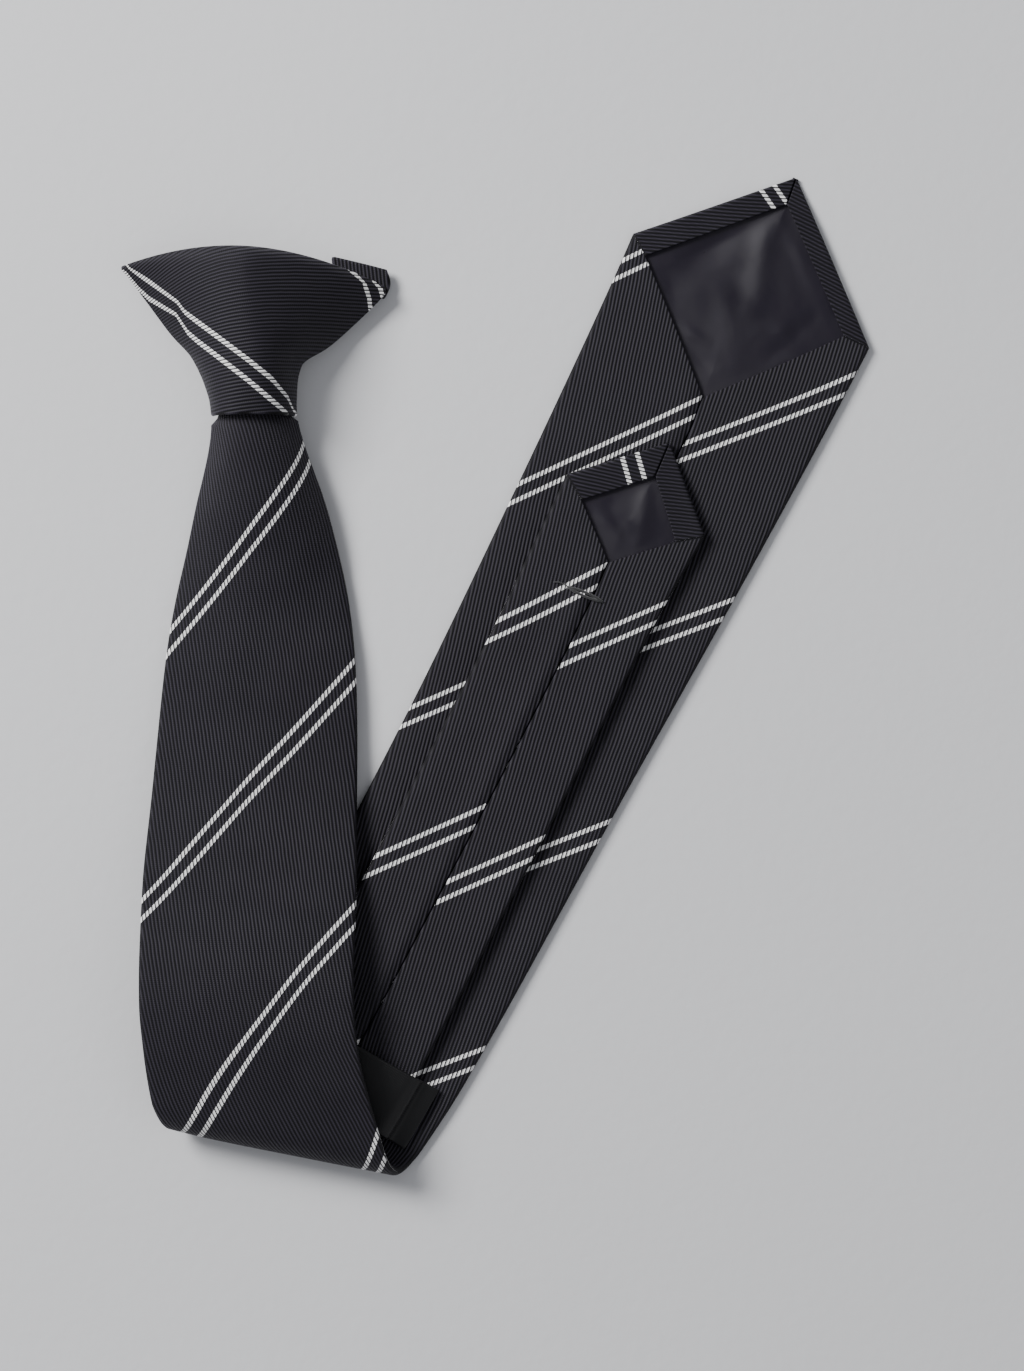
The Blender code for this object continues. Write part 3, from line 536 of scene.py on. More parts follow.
def weave_layers(kind, u, v, half, ribs):
    """Rib and stripe coordinates of the blade's cloth for its face, left flap and right flap."""
    lean = math.radians(RIB_LEAN)
    weave = []
    hems = []
    blade = BLADES[kind]
    tip_v = v - blade["start"]
    heading = math.radians(COURSE_ROWS[1][1])
    plan_x = -tip_v * math.sin(heading) + u * math.cos(heading)
    plan_y = -tip_v * math.cos(heading) - u * math.sin(heading)
    for side, title in ((FACE, "face"), (LEFT, "left"), (RIGHT, "right")):
        flat = u if side == FACE else (-2.0 * half - u if side == LEFT else 2.0 * half - u)
        slope, first, repeat = STRIPES[f"{kind} {title}"]
        rib = (flat * math.cos(lean) + v * math.sin(lean)) / ribs
        run = (-flat * math.sin(lean) + v * math.cos(lean)) / MM
        wander = drift_at(u, v) if (kind, side) == ("wide", FACE) else 0.0
        place = (v / MM - slope * flat / MM - first - wander) / repeat * STRIPE_REPEAT
        weave.append(np.stack((rib, run, place), axis=1))
        dip = math.radians(blade["hem ribs"][1 if side == RIGHT else 0])
        hem_rib = (plan_x * math.sin(dip) + plan_y * math.cos(dip)) / ribs
        # Distance to the hem's tuck line and, on flaps and face, to the folded edge; the cloth is
        # darkened near both as painted shade.
        tuck = tuck_distance(kind, side, u, tip_v) if side != FACE else np.full(len(u), NO_HEM)
        from_fold = np.maximum(EDGE_REACH * (half - np.abs(u)) / MM, EDGE_LEAST)
        tuck = np.where(tuck > 0.0, np.minimum(tuck, from_fold), tuck)
        line_slope, middle, apart = blade["hem stripe"]
        line = (tip_v / MM - line_slope * u / MM - middle) * STRIPE_APART / apart
        line = line if side == LEFT else np.full(len(u), 0.5 * STRIPE_REPEAT)
        hems.append(np.stack((hem_rib, tuck, line), axis=1))
    return {"weave": np.array(weave), "hem": np.array(hems)}


def drift_at(u, v):
    """How far the face's pinstripes wander in and just past the roll, in millimetres."""
    along = v / MM
    past, under = (smooth(*rise, along) * (1.0 - smooth(*fall, along))
                   for rise, fall in (ROLL_PAST, ROLL_UNDER))
    front = smooth(*FRONT_FROM, along)
    return (past * blend(ROLL_STRIPE_ROWS, u / MM)[:, 0] - UNDER_DRIFT * under
            - FRONT_DRIFT * front * np.maximum(-u / MM - FRONT_EVEN, 0.0))


def build_blade(name, kind, cloth, ribs):
    """One folded blade with its hemmed point, from the point to its end inside the knot."""
    blade = BLADES[kind]
    stations = blade_stations(kind)
    spots = []
    strip_u = []
    strip_v = []
    halves = []
    for v in stations:
        u, h, half = blade_section(kind, v, cloth)
        offset = blade["offset"](v)
        at = skewed(v, u + offset)
        spots.append(to_space(u + offset, at, h + blade["top"], blade["top"]))
        strip_u.append(u)
        strip_v.append(at)
        halves.append(np.full(len(u), half))
    size = len(strip_u[0])
    sides = blade_regions()
    faces = []
    region = []
    for base in range(0, (len(stations) - 1) * size, size):
        for k in range(size):
            n = (k + 1) % size
            faces.append((base + n, base + k, base + size + k, base + size + n))
            region.append(sides[k])
    span = 2 * FLAP_STEPS + 2 * (EDGE_STEPS + 1) + FACE_STEPS - 1
    rim = range(len(RIM_TURNS) + 2)
    for row in (0, len(stations) - 1):
        base = row * size
        quads = [(base + k, base + k + 1, base + 2 * span + 1 - k, base + 2 * span + 2 - k)
                 for k in range(span - 1)]
        quads.append(tuple(base + span - 1 + k for k in rim))
        quads.append(tuple(base + (2 * span + 2 + k) % size for k in rim))
        faces.extend(q if row == 0 else q[::-1] for q in quads)
        region.extend([sides[min(k, size - 1)] for k in range(span - 1)] + [RIGHT, LEFT])
    layers = weave_layers(kind, np.concatenate(strip_u), np.concatenate(strip_v),
                          np.concatenate(halves), ribs)
    return new_piece(name, np.concatenate(spots), faces, layers, region)


# Satin inside the points.

CREASES = {  # start x, y, end x, y, height, width; millimetres in the frame
    "wide": ((83.4, 135.6, 77.9, 126.6, 0.52, 3.0), (77.9, 126.6, 75.4, 107.6, 0.68, 3.4),
             (71.9, 133.6, 49.9, 112.6, -0.60, 5.0), (59.9, 121.6, 73.9, 115.6, -0.38, 4.5),
             (85.9, 130.6, 96.9, 107.6, 0.33, 3.6), (53.9, 100.6, 60.9, 97.1, 0.38, 1.6),
             (54.9, 94.6, 61.9, 90.1, -0.33, 1.8), (82.9, 99.6, 87.9, 94.6, 0.38, 2.0),
             (65.9, 111.6, 69.9, 91.6, 0.33, 3.6), (91.9, 103.6, 79.9, 91.6, -0.27, 2.6)),
    "tail": ((43.9, 53.6, 41.9, 39.6, 0.38, 2.4), (32.9, 49.6, 39.9, 37.6, -0.33, 2.4),
             (29.9, 45.6, 35.9, 42.6, 0.22, 1.6)),
}
CREASE_LEAST = 0.55         # share of a crease's height at its low places
CREASE_PEAK = 0.4           # share of its run where it is highest
SATIN_ROWS, SATIN_COLUMNS = 70, 61
SATIN_GAP = 0.00055         # between the satin and the under side of the hems
SATIN_TUCK = 0.0022         # run of the satin under the flaps at the opening's far end
SATIN_HEAD = 0.6            # share of that at its near end
SATIN_SIDES = 1.4           # and at its sides
SATIN_CLEAR = 0.0006        # from the blade's rounded edge
SATIN_LEAST = 0.0003        # hidden under a hem at the least
SATIN_CREASED = (-0.0005, 0.006)    # run inward from a hem over which creases come in
SATIN_SWELL = 0.00035
SATIN_SWOLLEN = (0.001, 0.016)


def crease_height(kind, x, y):
    """Height of the satin's soft creases at plan points in the frame, in metres."""
    total = np.zeros_like(x)
    for x0, y0, x1, y1, height, width in CREASES[kind]:
        dx = (x1 - x0) * MM
        dy = (y1 - y0) * MM
        share = ((x - x0 * MM) * dx + (y - y0 * MM) * dy) / (dx * dx + dy * dy)
        held = np.clip(share, 0.0, 1.0)
        away = np.hypot(x - x0 * MM - held * dx, y - y0 * MM - held * dy)
        along = CREASE_LEAST + (1.0 - CREASE_LEAST) * np.cos(math.pi * (held - CREASE_PEAK))
        total += height * MM * np.exp(-(away / (width * MM)) ** 2) * along
    return total


def build_tipping(name, kind, cloth):
    """The satin panel in a blade's point, tucked in under the hems and flaps."""
    blade = BLADES[kind]
    corners = blade["corners"]
    grid = np.zeros((SATIN_ROWS, SATIN_COLUMNS, 3))
    plan = np.zeros((SATIN_ROWS, SATIN_COLUMNS, 3))
    level = np.full(SATIN_COLUMNS, blade["top"] + blade["depth"] - 2.0 * cloth - SATIN_GAP)
    inner = 0.5 * blade["depth"] + SATIN_CLEAR
    side = SATIN_SIDES * SATIN_TUCK
    stops = np.linspace(corners["opening"][1] - SATIN_HEAD * SATIN_TUCK,
                        corners["end"][1] + SATIN_TUCK, SATIN_ROWS)
    for r, d in enumerate(stops):
        v = blade["start"] + d
        low, high = outline(corners, d, blade["full"](v))
        left, right = opening(corners, d)
        u = np.linspace(max(left - side, min(low + inner, left - SATIN_LEAST)),
                        min(right + side, max(high - inner, right + SATIN_LEAST)), SATIN_COLUMNS)
        inward = np.minimum(u - left, right - u)
        spots = to_space(u + blade["offset"](v), np.full(SATIN_COLUMNS, v), level, blade["top"])
        creased = crease_height(kind, spots[:, 0], spots[:, 1])
        spots[:, 2] += (smooth(*SATIN_CREASED, inward) * creased
                        + SATIN_SWELL * smooth(*SATIN_SWOLLEN, inward))
        grid[r] = spots
        plan[r, :, 0] = u / MM
        plan[r, :, 1] = d / MM
    return rounded_sheet(name, grid[:, ::-1], cloth, {"weave": plan[:, ::-1]})


# Keeper band.

KEEPER_ROWS, KEEPER_COLUMNS = 29, 91
KEEPER_BOW = 0.00012
KEEPER_STEP = (  # past the tail's edge, share of the way down to the broad blade, left above it
    (-0.0016, 0.0, 0.0), (0.0003, 0.0, -0.0008), (0.0009, 0.5, 0.0), (0.0016, 1.0, 0.0004),
    (0.0026, 1.0, 0.0001),
)


def keeper_line():
    """Under side of the band across the tail: across, depth and run, from left to right."""
    tail_side = tail_full(KEEPER_START) + PIECE_GAP
    middle = tail_offset(KEEPER_START)
    high = TAIL_TOP + TAIL_DEPTH + SEAM_LIFT + PIECE_GAP
    low = WIDE_DEPTH + PIECE_GAP
    step = [(tail_side + out, high + share * (low - high) + above)
            for out, share, above in KEEPER_STEP]
    shift = KEEPER_OFFSET - middle
    left = [(-out, level) for out, level in step[::-1]]
    line = np.array([(shift - 0.5 * KEEPER_SPAN, low), *left, (0.0, high), *step,
                     (shift + 0.5 * KEEPER_SPAN, low)])
    run = np.concatenate(([0.0], np.cumsum(np.hypot(*np.diff(line, axis=0).T))))
    at = np.linspace(0.0, run[-1], KEEPER_COLUMNS)
    u = np.interp(at, run, line[:, 0])
    h = np.interp(at, run, line[:, 1])
    for _ in range(3):
        u[1:-1] = 0.25 * u[:-2] + 0.5 * u[1:-1] + 0.25 * u[2:]
        h[1:-1] = 0.25 * h[:-2] + 0.5 * h[1:-1] + 0.25 * h[2:]
    return u + middle, h, at


def build_keeper(name, cloth):
    """The satin band over the tail, its cut ends folded under and sewn to the broad blade."""
    u, h, run = keeper_line()
    grid = np.zeros((KEEPER_ROWS, KEEPER_COLUMNS, 3))
    plan = np.zeros((KEEPER_ROWS, KEEPER_COLUMNS, 3))
    for r, share in enumerate(np.linspace(0.0, 1.0, KEEPER_ROWS)):
        v = np.full(KEEPER_COLUMNS, KEEPER_START + share * KEEPER_LENGTH)
        bow = KEEPER_BOW * math.sin(math.pi * share) * np.sin(math.pi * run / run[-1])
        grid[r] = to_space(u, v, h + cloth + bow, 0.0)
        plan[r, :, 0] = run / MM
        plan[r, :, 1] = share * KEEPER_LENGTH / MM
    return rounded_sheet(name, grid, cloth, {"weave": plan})


# Knot.

MOUTH_AT = np.array(course(TIE_LENGTH)[:2]) - FOLD_AT
MOUTH = (float(MOUTH_AT @ FOLD_ALONG) * FOLD_ALONG - FRONT_RUN * FOLD_OUT
         - np.array((FOOT_X, FOOT_Y)))

# Lines on the knot, millimetres in the frame.
KNOT_UPPER_LINE = (
    (-110.1, 123.6), (-105.7, 117.9), (-100.1, 114.1), (-91.5, 107.8), (-89.4, 104.9),
    (-85.7, 102.0), (-71.2, 91.0), (-63.9, 85.2), (-59.6, 80.2), (-58.1, 76.7), (-56.7, 75.0),
    (-53.8, 72.4), (-48.0, 67.2),
)
KNOT_LOWER_LINE = (
    (-110.1, 118.6), (-106.5, 116.5), (-103.1, 112.1), (-100.1, 109.2), (-92.0, 104.3),
    (-88.6, 99.1), (-85.7, 96.5), (-71.2, 85.2), (-60.4, 76.2), (-59.0, 74.6), (-56.7, 72.4),
    (-53.8, 69.8), (-48.0, 64.6),
)
WING_INNER_LINE = ((125.6, -44.6), (117.1, -41.6), (113.6, -37.8), (109.2, -36.4), (106.0, -36.1),
                   (94.6, -36.1))
WING_OUTER_LINE = ((125.6, -38.6), (113.9, -34.9), (112.1, -33.2), (109.8, -32.6), (103.6, -32.4),
                   (94.6, -32.4))
# Along the turn line the cloth is darkened as painted shade.
WING_TURN_LINE = ((-105.1, 119.9), (-95.8, 121.9))      # the cloth turns over past it, without ribs
KNOT_RIB_ROWS = (  # share of the width from the middle, rib slope in degrees above and below
    (-0.50, 44.0, 26.0), (-0.36, 37.0, 24.0), (-0.22, 25.0, 16.0), (-0.08, 11.0, 9.0),
    (0.05, 5.0, 5.0), (0.25, 0.0, 2.0), (0.50, -3.0, -2.0),
)
KNOT_SHAPE_ROWS, KNOT_COLUMNS = 97, 121
KNOT_SPAN = (0.16, 9.0)     # rows of KNOT_ROWS, just inside the solid's mouth and top
KNOT_SHARE = 0.987          # of the knot's half width, leaves room for the rounded rim
DENT = (-89.1, 101.6, 6.0, 7.0, 0.0011)     # x, y and its two half widths in millimetres, depth
WINGS_APART = -46.0         # x in millimetres between the front's lines and the right wing's
STRIPE_LIMIT = 0.45         # share of the repeat, keeps other repeats off the knot
TURNED_WING = -72.0         # left of it the cloth may turn over
RIB_SAMPLES = 200
RIB_REACH = 0.56
RIB_CHANGE = (0.1, 0.85)    # share of the height over which the ribs take their upper slope
TURNED_RIB = 0.3
WRAP_CORNERS = np.array(((0.292, 0.936), (0.486, 0.862), (0.478, 0.710), (0.300, 0.808)))
WRAP_ROWS, WRAP_COLUMNS = 25, 33
WRAP_LEVEL = 0.148          # share of KNOT_DEPTH
WRAP_SWELL = 0.018
WRAP_BOW = 0.014            # share of KNOT_WIDTH that its free end bows out
WRAP_BOW_POWER = 6
WRAP_RIB_LEAN = 0.1


def knot_surface():
    """Outer surface of the knot as a grid of points, with the soft dent in its left wing."""
    grid = np.zeros((KNOT_SHAPE_ROWS, KNOT_COLUMNS, 3))
    share = KNOT_SHARE * np.sin(0.5 * math.pi * np.linspace(-1.0, 1.0, KNOT_COLUMNS))
    for r, row in enumerate(np.linspace(*KNOT_SPAN, KNOT_SHAPE_ROWS)):
        (left_x, left_y, mid_x, mid_y, right_x, right_y,
         crest, edge, power, tip) = blend(KNOT_ROWS, row)[0]
        x = mid_x + np.where(share < 0.0, mid_x - left_x, right_x - mid_x) * share
        left = (x - mid_x) * (x - right_x) / ((left_x - mid_x) * (left_x - right_x))
        middle = (x - left_x) * (x - right_x) / ((mid_x - left_x) * (mid_x - right_x))
        right = (x - left_x) * (x - mid_x) / ((right_x - left_x) * (right_x - mid_x))
        y = left * left_y + middle * mid_y + right * right_y
        z = edge + (crest - edge) * (1.0 - np.abs(share) ** power) ** tip
        grid[r] = np.stack((MOUTH[0] + x * KNOT_WIDTH, MOUTH[1] + y * KNOT_HEIGHT,
                            z * KNOT_DEPTH), axis=1)
    x, y, wide, high, deep = DENT
    dent_x = (grid[:, :, 0] / MM - x) / wide
    dent_y = (grid[:, :, 1] / MM - y) / high
    grid[:, :, 2] -= deep * np.exp(-(dent_x ** 2) - dent_y ** 2)
    return grid


def knot_weave(x, y, ribs):
    """Rib and stripe coordinates on the knot from plan points in the frame."""
    share = (x - MOUTH[0]) / KNOT_WIDTH
    fine = np.linspace(-RIB_REACH, RIB_REACH, RIB_SAMPLES)
    slopes = np.tan(np.radians(blend(KNOT_RIB_ROWS, fine)))
    climb = np.cumsum(slopes, axis=0) * (fine[1] - fine[0]) * KNOT_WIDTH
    climb -= climb[RIB_SAMPLES // 2]
    top = np.interp(share, fine, climb[:, 0])
    foot = np.interp(share, fine, climb[:, 1])
    level = np.clip((y - MOUTH[1]) / KNOT_HEIGHT, 0.0, 1.0)
    climbed = foot + (top - foot) * smooth(*RIB_CHANGE, level)
    rib = (y - climbed) / ribs
    mx = x / MM
    my = y / MM
    upper = np.interp(mx, *np.array(KNOT_UPPER_LINE).T)
    lower = np.interp(mx, *np.array(KNOT_LOWER_LINE).T)
    main = STRIPE_APART * (2.0 * (my - lower) / (upper - lower) - 1.0)
    inner = np.array(WING_INNER_LINE)[::-1]
    outer = np.array(WING_OUTER_LINE)[::-1]
    inner_x = np.interp(my, inner[:, 0], inner[:, 1])
    outer_x = np.interp(my, outer[:, 0], outer[:, 1])
    wing = -STRIPE_APART * (2.0 * (mx - inner_x) / (outer_x - inner_x) - 1.0)
    limit = STRIPE_LIMIT * STRIPE_REPEAT
    stripe = np.clip(np.where(mx < WINGS_APART, main, wing), -limit, limit)
    return np.stack((rib, mx, stripe), axis=-1)


def build_knot(name, cloth, ribs):
    """The wrapped knot, an arched cloth shell, open below and at its mouth."""
    grid = knot_surface()
    weave = knot_weave(grid[:, :, 0], grid[:, :, 1], ribs)
    hem = np.zeros_like(weave)
    (x0, y0), (x1, y1) = WING_TURN_LINE
    size = math.hypot(x1 - x0, y1 - y0)
    past = ((grid[:, :, 1] / MM - y0) * (x1 - x0) - (grid[:, :, 0] / MM - x0) * (y1 - y0)) / size
    hem[:, :, 0] = TURNED_RIB
    # Distance from the wing's turn line; the cloth is darkened along it as painted shade.
    hem[:, :, 1] = np.where(grid[:, :, 0] / MM < TURNED_WING, -past, NO_HEM)
    hem[:, :, 2] = 0.5 * STRIPE_REPEAT
    return rounded_sheet(name, grid, cloth, {"weave": weave, "hem": hem})


def build_wrap_end(name, cloth, ribs):
    """The wrap's end, folded back behind the right wing and showing past its upper edge."""
    near_left, near_right, far_right, far_left = WRAP_CORNERS
    grid = np.zeros((WRAP_ROWS, WRAP_COLUMNS, 3))
    weave = np.zeros((WRAP_ROWS, WRAP_COLUMNS, 3))
    for r, w in enumerate(np.linspace(1.0, 0.0, WRAP_ROWS)):
        for c, s in enumerate(np.linspace(0.0, 1.0, WRAP_COLUMNS)):
            x, y = ((1 - w) * ((1 - s) * near_left + s * near_right)
                    + w * ((1 - s) * far_left + s * far_right))
            x += WRAP_BOW * math.sin(math.pi * w) * s ** WRAP_BOW_POWER
            base = WRAP_LEVEL + WRAP_SWELL * math.sin(math.pi * s)
            place = (MOUTH[0] + x * KNOT_WIDTH, MOUTH[1] + y * KNOT_HEIGHT)
            grid[r, c] = (*place, base * KNOT_DEPTH)
            weave[r, c] = ((place[0] + WRAP_RIB_LEAN * place[1]) / ribs, place[1] / MM,
                           0.5 * STRIPE_REPEAT)
    hem = np.zeros_like(weave)
    hem[:, :, 1] = NO_HEM
    return rounded_sheet(name, grid, cloth, {"weave": weave, "hem": hem})


# Materials.

class Graph:
    """Short hand for a material's nodes: each call adds one node and returns its output."""

    def __init__(self, name):
        self.material = bpy.data.materials.new(name)
        self.material.use_nodes = True
        self.tree = self.material.node_tree
        self.shader = self.tree.nodes["Principled BSDF"]

    def plug(self, socket, value):
        """Link an output to a socket, or set the socket's own value."""
        if isinstance(value, bpy.types.NodeSocket):
            self.tree.links.new(value, socket)
        elif isinstance(value, (tuple, list)) and len(socket.default_value) == len(value) + 1:
            socket.default_value = (*value, 1.0)
        else:
            socket.default_value = value

    def math(self, kind, a, b=None, c=None):
        """Arithmetic on up to three numbers."""
        node = self.tree.nodes.new("ShaderNodeMath")
        node.operation = kind
        for socket, value in zip(node.inputs, (a, b, c)):
            if value is not None:
                self.plug(socket, value)
        return node.outputs[0]

    def ramp(self, value, low, high, out_low=0.0, out_high=1.0):
        """Soft step of a value from low to high."""
        node = self.tree.nodes.new("ShaderNodeMapRange")
        node.interpolation_type = "SMOOTHSTEP"
        for title, entry in (("Value", value), ("From Min", low), ("From Max", high),
                             ("To Min", out_low), ("To Max", out_high)):
            self.plug(node.inputs[title], entry)
        return node.outputs["Result"]

    def mix(self, share, a, b):
        """Mix of two numbers."""
        node = self.tree.nodes.new("ShaderNodeMix")
        node.data_type = "FLOAT"
        self.plug(node.inputs[0], share)
        self.plug(node.inputs[2], a)
        self.plug(node.inputs[3], b)
        return node.outputs[0]

    def tint(self, share, a, b, kind="MIX"):
        """Mix of two colours."""
        node = self.tree.nodes.new("ShaderNodeMix")
        node.data_type = "RGBA"
        node.blend_type = kind
        self.plug(node.inputs[0], share)
        self.plug(node.inputs[6], a)
        self.plug(node.inputs[7], b)
        return node.outputs[2]

    def attribute(self, title):
        """Three numbers stored at the mesh's corners."""
        node = self.tree.nodes.new("ShaderNodeAttribute")
        node.attribute_name = title
        split = self.tree.nodes.new("ShaderNodeSeparateXYZ")
        self.tree.links.new(node.outputs["Vector"], split.inputs[0])
        return split.outputs

    def place(self):
        """Place on the object in metres."""
        return self.tree.nodes.new("ShaderNodeTexCoord").outputs["Object"]

    def vector(self, x, y, z):
        """Three numbers joined, also as a grey."""
        node = self.tree.nodes.new("ShaderNodeCombineXYZ")
        for socket, value in zip(node.inputs, (x, y, z)):
            self.plug(socket, value)
        return node.outputs[0]

    def noise(self, at, scale, detail=2.0, rough=0.5):
        """Soft noise from 0 to 1 at a place."""
        node = self.tree.nodes.new("ShaderNodeTexNoise")
        self.plug(node.inputs["Vector"], at)
        node.inputs["Scale"].default_value = scale
        node.inputs["Detail"].default_value = detail
        node.inputs["Roughness"].default_value = rough
        return node.outputs["Fac"]

    def bump(self, height, distance, below=None):
        """Normal for a height from 0 to 1 that stands for a distance in metres."""
        node = self.tree.nodes.new("ShaderNodeBump")
        node.inputs["Distance"].default_value = distance
        node.inputs["Strength"].default_value = 1.0
        self.plug(node.inputs["Height"], height)
        if below is not None:
            self.tree.links.new(below, node.inputs["Normal"])
        return node.outputs[0]

    def finish(self, colour, roughness, normal, **constants):
        """Feed the shader: linked looks first, then its own constant sockets."""
        self.plug(self.shader.inputs["Base Color"], colour)
        self.plug(self.shader.inputs["Roughness"], roughness)
        self.tree.links.new(normal, self.shader.inputs["Normal"])
        for title, value in constants.items():
            self.plug(self.shader.inputs[title.replace("_", " ")], value)
        return self.material


def ribbed_cloth(look):
    """Ribbed silk with pairs of pale pinstripes that show as short slanted dashes."""
    g = Graph("ribbed_cloth")
    rib_flat, run, stripe_flat = g.attribute("weave")
    rib_hem, tuck, stripe_hem = g.attribute("hem")
    place = g.place()
    # One on a hem, where the ribs and stripes run another way than on the flaps.
    hemmed = g.ramp(tuck, -0.04, 0.04, 1.0, 0.0)
    # A whole number at the top of each rib, a little uneven from rib to rib.
    wander = g.math("MULTIPLY", g.math("SUBTRACT", g.noise(place, 95.0, 2.0), 0.5), 0.5)
    rib = g.math("ADD", g.mix(hemmed, rib_flat, rib_hem), wander)
    stripe = g.mix(hemmed, stripe_flat, stripe_hem)
    wave = g.math("COSINE", g.math("MULTIPLY", rib, 2.0 * math.pi))
    crest = g.math("MULTIPLY_ADD", wave, 0.5, 0.5)
    yarn = g.math("SINE", g.math("MULTIPLY_ADD", run, 2.0 * math.pi / look.yarn_pitch,
                                 g.math("MULTIPLY", g.math("FLOOR", rib), 2.1)))
    yarn = g.math("MULTIPLY_ADD", yarn, 0.5, 0.5)
    # Two lines for each repeat, seen only on the tops of the ribs.
    turns = g.math("DIVIDE", stripe, STRIPE_REPEAT)
    near = g.math("ABSOLUTE", g.math("SUBTRACT", turns, g.math("ROUND", turns)))
    away = g.math("ABSOLUTE", g.math("SUBTRACT", g.math("MULTIPLY", near, STRIPE_REPEAT),
                                     STRIPE_APART))
    line = g.ramp(away, look.stripe_half + STRIPE_SOFT, look.stripe_half - STRIPE_SOFT)
    pale = g.math("MULTIPLY", line, g.ramp(crest, 0.12, 0.38))
    # The dark ground, uneven along each rib and in broad clouds, with painted shade towards tucks and
    # folded edges.
    cell = g.vector(g.math("FLOOR", rib), g.math("MULTIPLY", run, 0.11), 0.0)
    uneven = g.noise(cell, 1.0, 1.0)
    cloud = g.noise(place, 28.0, 3.0, 0.6)
    # Near tucks, folded edges and the knot's turned-over edge the cloth is darkened: painted shade.
    inside = g.ramp(g.math("ABSOLUTE", tuck), 0.05, 0.55)
    relief = g.mix(inside, 0.45, crest)
    # Rib tops take the cloth colour and the grooves between them the valley colour, near black:
    # painted shade between the ribs.
    body = g.tint(g.ramp(relief, 0.10, 0.90), tuple(look.valley_shade_colour), tuple(look.cloth_colour))
    shade = g.math("MULTIPLY_ADD", uneven, 0.42, g.math("MULTIPLY_ADD", cloud, 0.36, 0.60))
    shade = g.math("MULTIPLY", shade, g.mix(inside, 0.38, 1.0))
    shade = g.math("MULTIPLY", shade, g.math("MULTIPLY_ADD", yarn, 0.40, 0.78))
    body = g.tint(1.0, body, g.vector(shade, shade, shade), "MULTIPLY")
    white = g.tint(g.math("MULTIPLY", uneven, 0.16), tuple(look.stripe_colour), (0.42, 0.41, 0.42))
    colour = g.tint(pale, body, white)
    # Ribs and yarns stand on the tucks' small steps, and these on broad soft waves.
    height = g.math("MULTIPLY_ADD", yarn, 0.22, relief)
    step = g.ramp(tuck, -0.15, 0.15)
    waves = g.bump(g.noise(place, 48.0, 1.0), 0.0011)
    normal = g.bump(height, look.rib_height * MM, g.bump(step, 0.00030, waves))
    roughness = g.math("MULTIPLY_ADD", crest, -0.10, 0.66)
    return g.finish(colour, roughness, normal, Specular_IOR_Level=0.20, Sheen_Weight=0.04,
                    Sheen_Roughness=0.45, Sheen_Tint=(0.60, 0.57, 0.68))


def plain_satin(name, colour, threads, gloss):
    """Smooth satin with very fine floats across it and soft cloudiness."""
    g = Graph(name)
    across, along, _ = g.attribute("weave")
    place = g.place()
    fine = g.math("SINE", g.math("MULTIPLY_ADD", across, 2.0 * math.pi * threads,
                                 g.math("MULTIPLY", g.noise(place, 160.0, 1.0), 3.0)))
    weft = g.math("SINE", g.math("MULTIPLY", along, 2.0 * math.pi * threads * 0.72))
    floats = g.math("MULTIPLY_ADD", g.math("MULTIPLY", fine, weft), 0.25,
                    g.math("MULTIPLY_ADD", fine, 0.25, 0.5))
    cloud = g.noise(place, 60.0, 4.0, 0.6)
    shade = g.math("MULTIPLY_ADD", floats, 0.26, g.math("MULTIPLY_ADD", cloud, 0.40, 0.62))
    tone = g.tint(1.0, colour, g.vector(shade, shade, shade), "MULTIPLY")
    wrinkle = g.noise(place, 120.0, 2.0, 0.5)
    normal = g.bump(floats, 0.00004, g.bump(wrinkle, 0.00025))
    roughness = g.math("MULTIPLY_ADD", cloud, 0.12, gloss)
    return g.finish(tone, roughness, normal, Specular_IOR_Level=0.30, Anisotropic=0.35,
                    Sheen_Weight=0.05, Sheen_Roughness=0.35, Sheen_Tint=(0.55, 0.48, 0.66))


def twisted_thread(colour):
    """Sewing thread with a slight twist and fuzz."""
    g = Graph("sewing_thread")
    place = g.place()
    lay = g.noise(place, 2600.0, 2.0)
    tone = g.tint(lay, tuple(c * 0.5 for c in colour), tuple(colour))
    return g.finish(tone, 0.62, g.bump(lay, 0.00006), Sheen_Weight=0.3, Sheen_Roughness=0.5)


def moulded_plastic(colour):
    """Black moulded plastic with a fine even grain and faint rubbed patches."""
    g = Graph("moulded_plastic")
    place = g.place()
    grain = g.noise(place, 1400.0, 3.0, 0.6)
    rub = g.noise(place, 70.0, 3.0, 0.6)
    tone = g.tint(g.ramp(rub, 0.45, 0.75), tuple(colour), tuple(1.8 * c for c in colour))
    roughness = g.math("MULTIPLY_ADD", rub, 0.22, 0.34)
    return g.finish(tone, roughness, g.bump(grain, 0.00005), Specular_IOR_Level=0.5)


def table_top(colour):
    """Pale plain floor with a barely visible grain."""
    g = Graph("pale_floor")
    place = g.place()
    cloud = g.noise(place, 3.0, 3.0)
    tone = g.tint(g.math("MULTIPLY", cloud, 0.5), tuple(colour), tuple(0.94 * c for c in colour))
    return g.finish(tone, 0.85, g.bump(g.noise(place, 260.0, 4.0), 0.0001), Specular_IOR_Level=0.2)


# Settings that a user may change.

